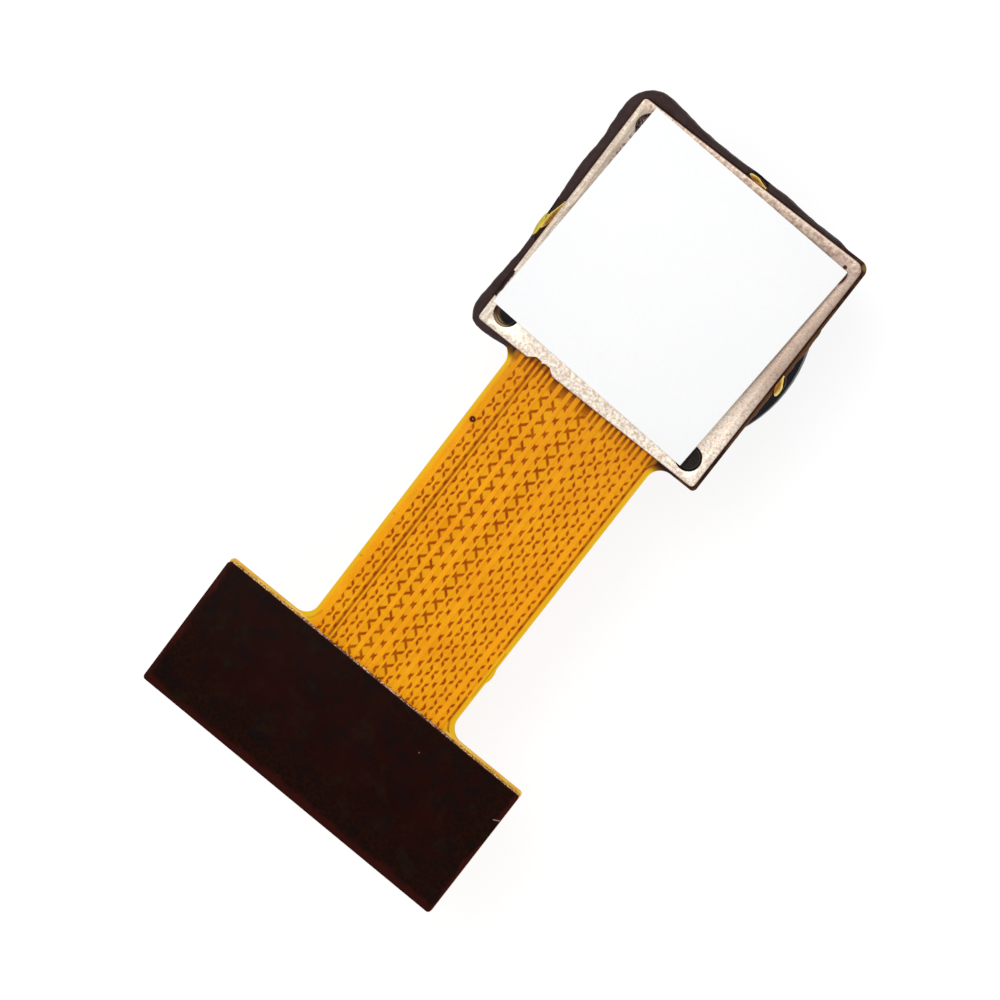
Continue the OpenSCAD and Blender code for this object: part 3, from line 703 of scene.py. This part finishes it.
# %% Painted edge highlight, dirt and a smear
# Painted highlight along the plate's far edge, stronger on its right half.
painted_edge_highlight = times(
    ramp(y, plate_hi.y - 0.08, plate_hi.y - 0.04, 0.0, 0.4), ramp(x, -2.5, 0.5, 0.2, 1.0)
)
liner_lean, liner_left_x = 0.0512, -4.2524
from_liner = calc("SUBTRACT", calc("MULTIPLY_ADD", y, liner_lean, liner_left_x), x)
dirt = times(
    ramp(from_liner, 0.04, 0.11, 1.0, 0.0), ramp(blotch, 0.5, 0.7),
    ramp(from_liner, -0.06, -0.03), ramp(y, 2.3, 2.9, 0.0, 0.8),
)
rim = area(0, head_y, plate_hi.x, plate_hi.x)["Depth"]
smear = area(plate_lo.x, -2.55, 0.15, 0.58)["Depth"]
smear = calc("MULTIPLY_ADD", calc("SUBTRACT", stain, 0.7), 0.09, smear)
tone = layered(
    tone,
    (painted_edge_highlight, (214, 200, 184)),
    (dirt, (84, 64, 62)),
    (ramp(rim, 0.0, 0.06, 0.5, 0.0), (112, 84, 70)),
    (ramp(smear, 0.02, 0.05), (40, 28, 28)),
)
relief = calc("MULTIPLY_ADD", sparkle, 0.6, times(streak, 0.4))
paint(tone, sparkle, (0.36, 0.52), relief, 0.004, 0.1, 0.9)

# %% [markdown]
# ### The release liner
#
# The liner is smooth white coated paper. It gets only a trace of fibre and a faint,
# cool cloud, so that it isn't one flat white. It stays bare: the print that such a
# liner may carry is left off.

# %% The liner
liner_finish = start_finish("liner_paper", specular=0.15)[0]
fibre, cloud = grains(0.14, 1.5, 4.0), grains(2.0, 1.4)
tone = blend(fibre, (249, 249, 249), (254, 254, 254))
tone = blend(times(cloud, 0.5), tone, (247, 248, 251))
paint(tone, fibre, (0.42, 0.55), fibre, 0.0008)

# %% [markdown]
# ### The black glue
#
# Cured black glue is dark grey-brown, soft and uneven. Its sheen changes from place to place,
# because it set at different speeds, and fine dust has settled in it. Painted shade darkens it
# lower down, on its sides.

# %% The black glue
bead_finish, x, y, z = start_finish("black_glue", specular=0.035)
lump, fine = grains(0.45, 1.7), grains(0.06, 1.6)
tone = layered(
    blend(lump, (48, 33, 33), (68, 54, 52)),
    (ramp(fine, 0.5, 1.0, 0.0, 0.4), (80, 70, 64)),
    # Painted shade: darker lower down, on the bead's sides.
    (ramp(z, film_z - 0.35, film_z, 0.9, 0.0), (34, 12, 13)),
    (speckle(0.35, 0.03, 0.3), (140, 128, 118)),
)
paint(tone, lump, (0.4, 0.6), calc("MULTIPLY_ADD", lump, 0.7, times(fine, 0.3)), 0.01)

# %% [markdown]
# ### Glue in the holes
#
# The same glue fills the plate's four holes round the holder's pegs, and it looks
# different in each. At the neck it is nearly black, and in the left hole a crescent of
# clear amber glue lies round it. The two holes at the far side carry a dull, dusty
# skin, and the right one has a dark speck and a dark red crescent where the skin stops.

# %% Glue in the holes
hole_half = 3.8
hole_r = 0.44
hole_glue_finish, x, y, z = start_finish("hole_glue", specular=0.12)
fine = grains(0.09, 2.0)
far_side = calc("GREATER_THAN", y, head_y)
crescent = times(
    ramp(x, hole_half + 0.31, hole_half + 0.34),
    ramp(from_point(hole_half, head_y + hole_half), 0.41, 0.45, 1.0, 0.0),
)
skin_tone = layered(
    blend(fine, (176, 150, 136), (214, 194, 180)),
    (ramp(from_point(3.98, 4.62), 0.05, 0.095, 1.0, 0.0), (78, 18, 14)),
    (crescent, (92, 26, 22)),
)
from_left_hole = from_point(plate_lo.x + 0.82, plate_lo.y + 0.78)
in_left_hole = calc("LESS_THAN", from_left_hole, 0.8)
amber_tone = blend(ramp(y, -3.72, -3.45), (176, 150, 112), (84, 48, 34))
tone = layered(
    blend(fine, (14, 8, 7), (44, 36, 33)),
    (times(far_side, ramp(fine, 0.35, 0.75)), (150, 118, 112)),
    (times(far_side, calc("GREATER_THAN", x, 0.0)), skin_tone),
    (in_left_hole, blend(fine, (2, 1, 1), (14, 8, 7))),
    (times(ramp(from_left_hole, 0.34, 0.46), in_left_hole), amber_tone),
)
paint(tone, fine, (0.22, 0.4), fine, 0.004)

# %% [markdown]
# ### Torn film, thin glue, adhesive
#
# The torn film gets a painted highlight, bright gold, on its raised rim and painted shade, brown,
# in its fold, so its colour follows the height. The adhesive is a mix of white grains and brown
# gaps, and more golden beside the neck. The outer leaf of film, the thin glue and the plating of
# the test hole only need the common finish.

# %% Film, thin glue, plating, adhesive
curl_finish, x, y, z = start_finish("film_curl", specular=0.3)
fine = grains(0.12, 1.6)
# Painted highlight on the raised rim and painted shade in the fold.
painted_rim_highlight = blend(fine, (226, 178, 44), (255, 238, 152))
painted_fold_shade = blend(fine, (112, 62, 6), (190, 132, 16))
tone = blend(ramp(z, film_z + 0.05, film_z + 0.108), painted_fold_shade, painted_rim_highlight)
paint(tone, fine, (0.2, 0.34), fine, 0.002)

lobe_finish = grained_finish(
    "pale_film", (182, 152, 18), (244, 232, 112), 0.12, 0.002, (0.25, 0.35), specular=0.2
)
lip_finish = grained_finish(
    "brown_glue", (50, 26, 18), (122, 78, 42), 0.25, 0.004, (0.35, 0.5), specular=0.15
)
eyelet_finish = grained_finish(
    "dark_plating", (58, 8, 3), (96, 34, 12), 0.04, 0.002, (0.4, 0.5), specular=0.03
)

adhesive_finish, x, y, z = start_finish("board_adhesive", specular=0.35)
fine, broad = grains(0.07, 2.6), grains(0.7, 2.0)
pale_share = ramp(calc("MULTIPLY_ADD", broad, 0.5, fine), 0.6, 1.1)
at_neck = blend(pale_share, (112, 64, 26), (238, 212, 186))
beside_neck = blend(pale_share, (150, 96, 26), (244, 206, 130))
tone = blend(ramp(off(x, neck_x), neck_half, neck_half + 0.5), at_neck, beside_neck)
paint(tone, fine, (0.25, 0.45), fine, 0.004)
print(len(bpy.data.materials), "finishes")

# %% [markdown]
# ## Helpers for pieces
#
# So `only` selects one object first, and `start_piece` deselects all before it adds a
# primitive. In edit mode `choose` selects by place or normal, `push` moves what it
# chose, and `close_up` turns the faces outwards at the end.
#
# A new piece is modelled at a thousand times its size. Its object then sits at the
# origin, with its place in its mesh.

# %% Piece helpers
def leave_edit():
    """Back to object mode."""
    bpy.ops.object.mode_set(mode="OBJECT")


def only(piece):
    """Selects one object alone."""
    bpy.ops.object.select_all(action="DESELECT")
    piece.select_set(True)
    bpy.context.view_layer.objects.active = piece


def open_up(piece):
    """Edit mode, with all of one piece selected."""
    only(piece)
    bpy.ops.object.mode_set(mode="EDIT")
    bpy.ops.mesh.select_all(action="SELECT")


def start_piece(piece_name, add, **how):
    """Adds a primitive with nothing else selected, names it and opens it."""
    bpy.ops.object.select_all(action="DESELECT")
    add(**how)
    piece = bpy.context.object
    piece.name = piece_name
    piece.data.name = piece_name
    open_up(piece)
    return piece


def choose(piece, test, kind="polygons"):
    """In edit mode, selects the faces or vertices that pass a test."""
    bpy.ops.mesh.select_mode(type="FACE" if kind == "polygons" else "VERT")
    bpy.ops.mesh.select_all(action="DESELECT")
    leave_edit()
    for item in getattr(piece.data, kind):
        item.select = bool(test(item))
    bpy.ops.object.mode_set(mode="EDIT")


def push(piece, step, test):
    """In edit mode, moves the vertices that pass a test."""
    choose(piece, test, "vertices")
    bpy.ops.transform.translate(value=step)


def thicken(step_z):
    """In edit mode, extrudes everything up or down."""
    bpy.ops.mesh.select_all(action="SELECT")
    bpy.ops.mesh.extrude_region_move(TRANSFORM_OT_translate={"value": (0, 0, step_z)})


def close_up():
    """Turns every face outwards and leaves edit mode."""
    bpy.ops.mesh.select_all(action="SELECT")
    bpy.ops.mesh.normals_make_consistent(inside=False)
    leave_edit()


def modify(piece, kind, **settings):
    """Adds a modifier and applies it."""
    only(piece)
    modifier = piece.modifiers.new(kind.lower(), kind)
    for name, value in settings.items():
        setattr(modifier, name, value)
    bpy.ops.object.modifier_apply(modifier=modifier.name)


def smooth(piece, degrees):
    """Smooth shading that keeps the edges sharper than an angle."""
    only(piece)
    bpy.ops.object.shade_smooth_by_angle(angle=math.radians(degrees))


def settle(piece, finish, stands_for=()):
    only(piece)
    piece.scale = (MM, MM, MM)
    piece.location = piece.location * MM
    bpy.ops.object.transform_apply(location=True, rotation=True, scale=True)
    piece.data.materials.clear()
    piece.data.materials.append(finish)
    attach(piece, "root")
    if stands_for:
        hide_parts(*stands_for)
    lo, hi = (
        [round(end(v.co[i] for v in piece.data.vertices) / MM, 2) for i in range(3)]
        for end in (min, max)
    )
    print(piece.name, len(piece.data.polygons), "faces, from", lo, "to", hi, "mm")


print("piece helpers ready")

# %% [markdown]
# ## Soft-edged copies of the flat parts
#
# Real sheet, film and board have no perfectly sharp edge, and the narrow bright line
# along a rounded edge is what makes a thin part look real. One way is to model each
# part anew. But the CAD outline is already exact, so a copy of the CAD mesh is better:
# its loose triangles are merged, flat areas are dissolved to single faces, and the
# Bevel modifier rounds what is left, which are the true edges. The liner reaches a
# little further on the real part, so its copy's far edge is moved out as well.

# %% Copy and soften
def big_copy(node, piece_name):
    """A merged copy of a CAD node, a thousand times its size."""
    piece = add_object(piece_name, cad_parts[node].data.copy())
    piece.data.name = piece_name
    only(piece)
    piece.scale = (1 / MM, 1 / MM, 1 / MM)
    bpy.ops.object.transform_apply(scale=True)
    open_up(piece)
    bpy.ops.mesh.remove_doubles(threshold=0.0005)
    leave_edit()
    return piece


def soft_copy(node, piece_name, radius, segments=2):
    """A big copy with its flat areas joined and its edges rounded."""
    piece = big_copy(node, piece_name)
    open_up(piece)
    bpy.ops.mesh.dissolve_limited(angle_limit=math.radians(0.4))
    leave_edit()
    modify(
        piece, "BEVEL", width=radius, segments=segments, limit_method="ANGLE",
        angle_limit=math.radians(40), use_clamp_overlap=False, harden_normals=False,
    )
    smooth(piece, 30)
    return piece


def dress(node, piece_name, radius, finish, segments=2):
    """Puts a soft-edged copy in the place of a CAD node."""
    settle(soft_copy(node, piece_name, radius, segments), finish, (node,))


dress("head_stiffener", "steel_plate", 0.025, steel_finish, 3)
dress("tail_stiffener", "tail_board", 0.014, board_finish)

liner_reach = 0.09
liner = soft_copy("release_liner", "liner_sheet", 0.012)
open_up(liner)
push(liner, (0, liner_reach, 0), lambda v: v.co.y > head_y)
leave_edit()
settle(liner, liner_finish, ("release_liner",))

dress("flex_circuit", "circuit_film", 0.007, flex_finish)
dress("lens_barrel", "barrel_shell", 0.03, barrel_finish)
dress("lens_holder", "holder_shell", 0.035, holder_finish)

# %% [markdown]
# ## The glue bead
#
# Black glue was run round the joint between the head and the circuit. It spread,
# climbed over the rim and set in lumps. The CAD bead has the right run and width but a
# regular section. So its copy is first thinned where less glue was laid, at the right
# of the far side and at the left of the near side. A remesh gives it an even skin of
# small faces, and the skin is pressed down where a lug of the circuit lies over it.
# Two Displace modifiers with cloud textures push the skin in and out, once in broad
# lumps and once in fine ones, and a short smoothing melts the steps.

# %% Bead of black glue
def lumpy(piece, name, size, strength):
    """Pushes a skin in and out by a cloud texture. Size and strength in millimetres."""
    clouds = bpy.data.textures.new(name, "CLOUDS")
    clouds.noise_scale = size
    clouds.noise_depth = 2
    modify(
        piece, "DISPLACE", texture=clouds, texture_coords="LOCAL", strength=strength,
        mid_level=0.5,
    )


bead = big_copy("perimeter_glue", "glue_bead")
open_up(bead)
for from_x, thinner in ((1.2, 0.03), (2.1, 0.02), (3.0, 0.03), (3.5, 0.03)):
    push(bead, (0, -thinner, 0), lambda v: v.co.y > plate_hi.y + 0.07 and from_x < v.co.x < 4.4)
push(bead, (0, 0.045, 0), lambda v: v.co.y < plate_lo.y - 0.07 and -4.3 < v.co.x < -3.2)
leave_edit()
modify(bead, "REMESH", mode="VOXEL", voxel_size=0.045)


def under_lug(vertex, lug_x, lug_y, half_x, half_y):
    """True for the upper skin of the bead where a lug lies."""
    x, y, z = vertex.co
    return z > film_z - 0.2 and abs(x - lug_x) < half_x and abs(y - lug_y) < half_y


open_up(bead)
for lug in ((-4.65, 0.05, 0.3, 0.68), (0.06, 5.12, 0.36, 0.25)):
    push(bead, (0, 0, -0.22), lambda v: under_lug(v, *lug))
leave_edit()
modify(bead, "SMOOTH", factor=0.5, iterations=5)
lumpy(bead, "broad_lumps", 1.1, 0.09)
lumpy(bead, "fine_lumps", 0.25, 0.035)
modify(bead, "SMOOTH", factor=0.5, iterations=4)
smooth(bead, 60)
settle(bead, bead_finish, ("perimeter_glue",))

# %% [markdown]
# The drops that lock the focus get the same treatment. Clear glue flows out before it
# sets, so they are smoothed more and barely lumpy.

# %% Focus drops
drops = big_copy("focus_glue", "focus_drops")
modify(drops, "REMESH", mode="VOXEL", voxel_size=0.03)
lumpy(drops, "drop_lumps", 0.5, 0.09)
modify(drops, "SMOOTH", factor=0.5, iterations=6)
smooth(drops, 60)
settle(drops, clear_glue_finish, ("focus_glue",))

# %% [markdown]
# ## Glue in the locating holes
#
# Four pegs of the holder come up through round holes in the plate, and glue fills what
# is left of each hole. The skin of such a fill is a turned shape: low over the peg,
# lowest in the ring round it, and drawn up the wall of the hole. So it is modelled as
# on a lathe. The corners of a circle primitive are moved onto the outline of half a
# section, and Spin turns that outline round the hole's axis. Its doubles are merged
# and its normals are turned outwards afterwards. One skin is turned and copied twice.
# In the fourth hole the glue stands level with the plate and lies over the hole's rim,
# so it has its own outline.

# %% Lathe
def lathe(piece_name, outline, middle, base_z, steps=48):
    """Turns a closed outline of (radius, height over base_z) round an upright axis."""
    piece = start_piece(
        piece_name, bpy.ops.mesh.primitive_circle_add, vertices=len(outline), radius=1,
        location=(*middle, 0),
    )
    leave_edit()
    for vertex, (radius, height) in zip(piece.data.vertices, outline):
        vertex.co = (radius, 0, base_z + height)
    open_up(piece)
    bpy.ops.mesh.spin(steps=steps, angle=2 * math.pi, center=(*middle, 0), axis=(0, 0, 1))
    bpy.ops.mesh.select_all(action="SELECT")
    bpy.ops.mesh.remove_doubles(threshold=0.0005)
    bpy.ops.mesh.dissolve_degenerate(threshold=0.0005)
    close_up()
    smooth(piece, 50)
    return piece


def twin(piece, piece_name, step):
    """A copy with its own mesh, moved by a step."""
    other = add_object(piece_name, piece.data.copy())
    other.data.name = piece_name
    other.location = piece.location + Vector(step)
    return other


print("lathe ready")

# %% Skins of glue
wall_r, brim_r = hole_r - 0.004, 0.485
skin_outline = [
    (0, -0.03), (0, 0.022), (0.2, 0.02), (0.31, 0.012), (0.36, -0.012), (0.395, -0.02),
    (0.42, 0.005), (wall_r, 0.05), (wall_r, -0.06),
]
full_outline = [
    (0, -0.13), (0, -0.006), (0.3, -0.004), (0.42, 0.001), (0.47, 0.002), (brim_r, 0),
    (brim_r, -0.16),
]
peg_top = plate_hi.z - 0.1
apart = 2 * hole_half
first_skin = lathe("hole_glue_1", skin_outline, (-hole_half, head_y - hole_half), peg_top)
skins = [
    first_skin,
    twin(first_skin, "hole_glue_2", (apart, 0, 0)),
    twin(first_skin, "hole_glue_3", (0, apart, 0)),
    lathe("hole_glue_4", full_outline, (hole_half, head_y + hole_half), plate_hi.z),
]
for skin in skins:
    settle(skin, hole_glue_finish)

# %% [markdown]
# ## The test hole's dark wall
#
# Near the neck's left edge a tiny plated hole goes through the circuit. Its plating has
# gone dark, and only a pinprick is left open in its middle. It is the same kind of
# turned shape, so the lathe makes it: a narrow ring with a rounded upper lip.

# %% Dark eyelet
eyelet_outline = [
    (0.018, 0.006), (0.045, 0.016), (0.085, 0.02), (0.115, 0.012), (0.122, 0.002),
    (0.094, 0.001), (0.09, -0.09), (0.018, -0.09),
]
eyelet = lathe("test_hole_wall", eyelet_outline, test_hole, film_z, 40)
settle(eyelet, eyelet_finish)

# %% [markdown]
# ## Torn film at the lugs
#
# The circuit was broken out of its panel at three small lugs. The film tore there and
# its edge curled up, so that it catches the light. Each curl is a thin leaf. A circle
# is squeezed to a long oval and thinned at one end. Extruding gives it thickness, and
# an inset pushed down leaves a raised, rounded rim. The leaf is slanted by pressing
# down its inner side, and subdivision smooths it. The left lug tore in two layers, so
# a second, paler leaf stands outside the first.

# %% Curls of film
curl_height, slant_down = 0.115, -0.055


def film_curl(piece_name, middle, half_length, half_width, turn, thin_end, outer, finish):
    """A small curled leaf along Y, thin at its +Y end and raised on its outer X side."""
    piece = start_piece(
        piece_name, bpy.ops.mesh.primitive_circle_add, vertices=28, radius=1,
        fill_type="NGON", location=(*middle, film_z),
    )
    bpy.ops.transform.resize(value=(half_width, half_length, 1))
    for start in (0.1, 0.55):
        choose(piece, lambda v: v.co.y > start * half_length, "vertices")
        bpy.ops.transform.resize(value=(thin_end, 1, 1))
    thicken(curl_height)
    choose(piece, lambda f: f.normal.z > 0.9 and f.center.z > 0.05)
    bpy.ops.mesh.inset(thickness=half_width * 0.3, depth=0)
    bpy.ops.mesh.inset(thickness=half_width * 0.22, depth=-0.05)
    push(
        piece, (0, 0, slant_down),
        lambda v: v.co.x * outer < -0.25 * half_width and v.co.z > 0.02,
    )
    close_up()
    modify(piece, "SUBSURF", levels=2, render_levels=2)
    piece.rotation_euler.z = math.radians(turn)
    smooth(piece, 60)
    settle(piece, finish)


film_curl("film_curl_left", (-4.575, 0.18), 0.61, 0.11, -7, 0.75, -1, curl_finish)
film_curl("film_lobe_left", (-4.75, -0.34), 0.42, 0.075, 5, 0.9, -1, lobe_finish)
film_curl("film_curl_right", (4.665, 0.34), 0.37, 0.125, 14, 0.7, 1, curl_finish)
film_curl("film_curl_top", (0.06, 5.08), 0.37, 0.1, -96, 0.7, -1, curl_finish)

# %% [markdown]
# ## The lip on the right side
#
# On the right side the glue didn't form a bead. It only wetted the edge of the circuit
# and left a thin brown lip that swells and thins out. A long grid is widened here and
# there by choosing its rows, extruded for thickness, and smoothed by subdivision.

# %% Brown lip
lip_low_y, lip_high_y = -2.4, 3.35
lip_middle_y, lip_half = (lip_low_y + lip_high_y) / 2, (lip_high_y - lip_low_y) / 2
lip = start_piece(
    "side_lip", bpy.ops.mesh.primitive_grid_add, x_subdivisions=3, y_subdivisions=46, size=2,
    location=(plate_hi.x + 0.07, lip_middle_y, film_z + 0.015),
)
bpy.ops.transform.resize(value=(0.04, lip_half, 1))
swells = ((1.9, 0.6, 0.04), (1.7, 0.3, 0.02), (0.7, 0.5, 0.04), (-0.5, 0.5, 0.03))
for swell_y, reach, out in swells:
    push(
        lip, (out, 0, 0),
        lambda v: v.co.x > 0.01 and abs(v.co.y + lip_middle_y - swell_y) < reach,
    )
thicken(-0.1)
close_up()
modify(lip, "SUBSURF", levels=2, render_levels=2)
lumpy(lip, "lip_lumps", 0.3, 0.03)
smooth(lip, 60)
settle(lip, lip_finish)

# %% [markdown]
# ## Adhesive along the tail's board
#
# Under pressure a little adhesive came out along the upper edge of the tail's board,
# and it set as an uneven, whitish line. It starts as a long grid. Its middle rows are
# lifted to a low ridge, extruding down closes it, and two cloud displacements break it
# up into grains.

# %% Adhesive line
line_half = board_half_x - 0.12
ridge = start_piece(
    "board_adhesive", bpy.ops.mesh.primitive_grid_add, x_subdivisions=900, y_subdivisions=6,
    size=2, location=(neck_x, board_hi.y + 0.005, film_z + 0.02),
)
bpy.ops.transform.resize(value=(line_half, 0.045, 1))
for reach, rise in ((0.04, 0.05), (0.025, 0.03)):
    push(ridge, (0, 0, rise), lambda v: abs(v.co.y) < reach)
thicken(-0.02)
close_up()
lumpy(ridge, "adhesive_grains", 0.06, 0.09)
lumpy(ridge, "adhesive_waves", 0.35, 0.06)
smooth(ridge, 60)
settle(ridge, adhesive_finish)

# %% [markdown]
# ## The CAD nodes that stay
#
# The other nodes have the right shape already, so they keep their mesh and only get
# their finish, assigned to their material slots.

# %% Finish the CAD nodes
nodes_of_finish = (
    (flex_finish, "flex_circuit"), (steel_finish, "head_stiffener"),
    (board_finish, "tail_stiffener"), (liner_finish, "release_liner"),
    (bead_finish, "perimeter_glue sensor_dam"), (gold_finish, "contact_fingers"),
    (tape_finish, "mounting_tape"), (holder_finish, "lens_holder"),
    (barrel_finish, "lens_barrel"), (clear_glue_finish, "focus_glue filter_glue"),
    (ring_finish, "front_ring lens_spacer rear_ring"),
    (lens_finish, "front_lens middle_lens rear_lens"), (filter_finish, "ir_filter"),
    (cover_finish, "sensor_glass"), (silicon_finish, "image_sensor"),
    (solder_finish, "solder_balls capacitor_ends"), (ceramic_finish, "capacitor_bodies"),
)
finished = []
for finish, names in nodes_of_finish:
    for name in names.split():
        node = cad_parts[name]
        for slot in node.material_slots:
            slot.material = finish
        if not node.material_slots:
            node.data.materials.append(finish)
        finished.append(name)
print(len(finished), "nodes finished of", len(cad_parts))

# %% [markdown]
# ## The floor and the light
#
# A plain pale floor lies under the part. The camera sees it mostly as a glowing white
# with only a little shadow left in it, while everything else sees an ordinary white
# floor that throws its light back up. Light Path tells the two apart. The world does
# the same: white to look at, softer as a light. One large soft lamp above the top
# left gives the edges their bright and dark sides.

# %% Floor
def seen_directly():
    """1 where the camera looks at a surface, also in a mirror or through glass."""
    rays = put("ShaderNodeLightPath").outputs
    looks = calc("MAXIMUM", rays["Is Camera Ray"], rays["Is Glossy Ray"])
    return calc("MAXIMUM", looks, rays["Is Transmission Ray"])


floor = start_piece(
    "floor", bpy.ops.mesh.primitive_plane_add, size=1.2, location=(0, 0, cad_box[0].z)
)
leave_edit()
floor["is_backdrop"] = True

floor_finish = bpy.data.materials.new("floor_white")
floor_finish.use_nodes = True
bench["tree"] = floor_finish.node_tree
plain = bench["tree"].nodes["Principled BSDF"]
plain.inputs["Base Color"].default_value = srgb(236, 236, 236)
plain.inputs["Roughness"].default_value = 0.9
glowing = put(
    "ShaderNodeBsdfPrincipled",
    {
        "Base Color": srgb(128, 128, 128), "Roughness": 1.0, "Specular IOR Level": 0.0,
        "Emission Color": (1, 1, 1, 1), "Emission Strength": 0.84,
    },
)
fill = {0: seen_directly(), 1: plain.outputs[0], 2: glowing.outputs[0]}
either = put("ShaderNodeMixShader", fill)
link(either.outputs[0], bench["tree"].nodes["Material Output"].inputs["Surface"])
floor.data.materials.append(floor_finish)
print("floor at", cad_box[0].z)

# %% World and lamps
world = bpy.data.worlds.new("studio")
bpy.context.scene.world = world
world.use_nodes = True
bench["tree"] = world.node_tree
background = world.node_tree.nodes["Background"]
background.inputs["Color"].default_value = (1, 1, 1, 1)
as_light = 0.55
strength = calc("MULTIPLY_ADD", seen_directly(), 1 - as_light, as_light)
link(strength, background.inputs["Strength"])


def soft_lamp(name, place, target, size, power):
    """A square area lamp that shines at a point. Places in metres, power in watts."""
    data = bpy.data.lights.new(name, "AREA")
    data.size = size
    data.energy = power
    lamp = add_object(name, data)
    lamp.location = place
    lamp.rotation_mode = "QUATERNION"
    lamp.rotation_quaternion = (Vector(target) - Vector(place)).to_track_quat("-Z", "Y")


middle = (cad_box[0] + cad_box[1]) / 2
soft_lamp("key_lamp", (-0.5, 0.31, 1.0), middle, 0.8, 6.5)
soft_lamp("fill_lamp", (0.28, -0.20, 0.32), middle, 0.24, 0.34)
print("two lamps and the world")

# %% [markdown]
# ## Finish
#
# The box round everything that shows is printed beside the CAD box. The box round
# everything that shows must stay within the CAD box.

# %% Sizes of the CAD box and of what shows
seen_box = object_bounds()
for name, box in (("CAD", cad_box), ("visual", seen_box)):
    print(name, [round(c / MM, 3) for corner in box for c in corner])
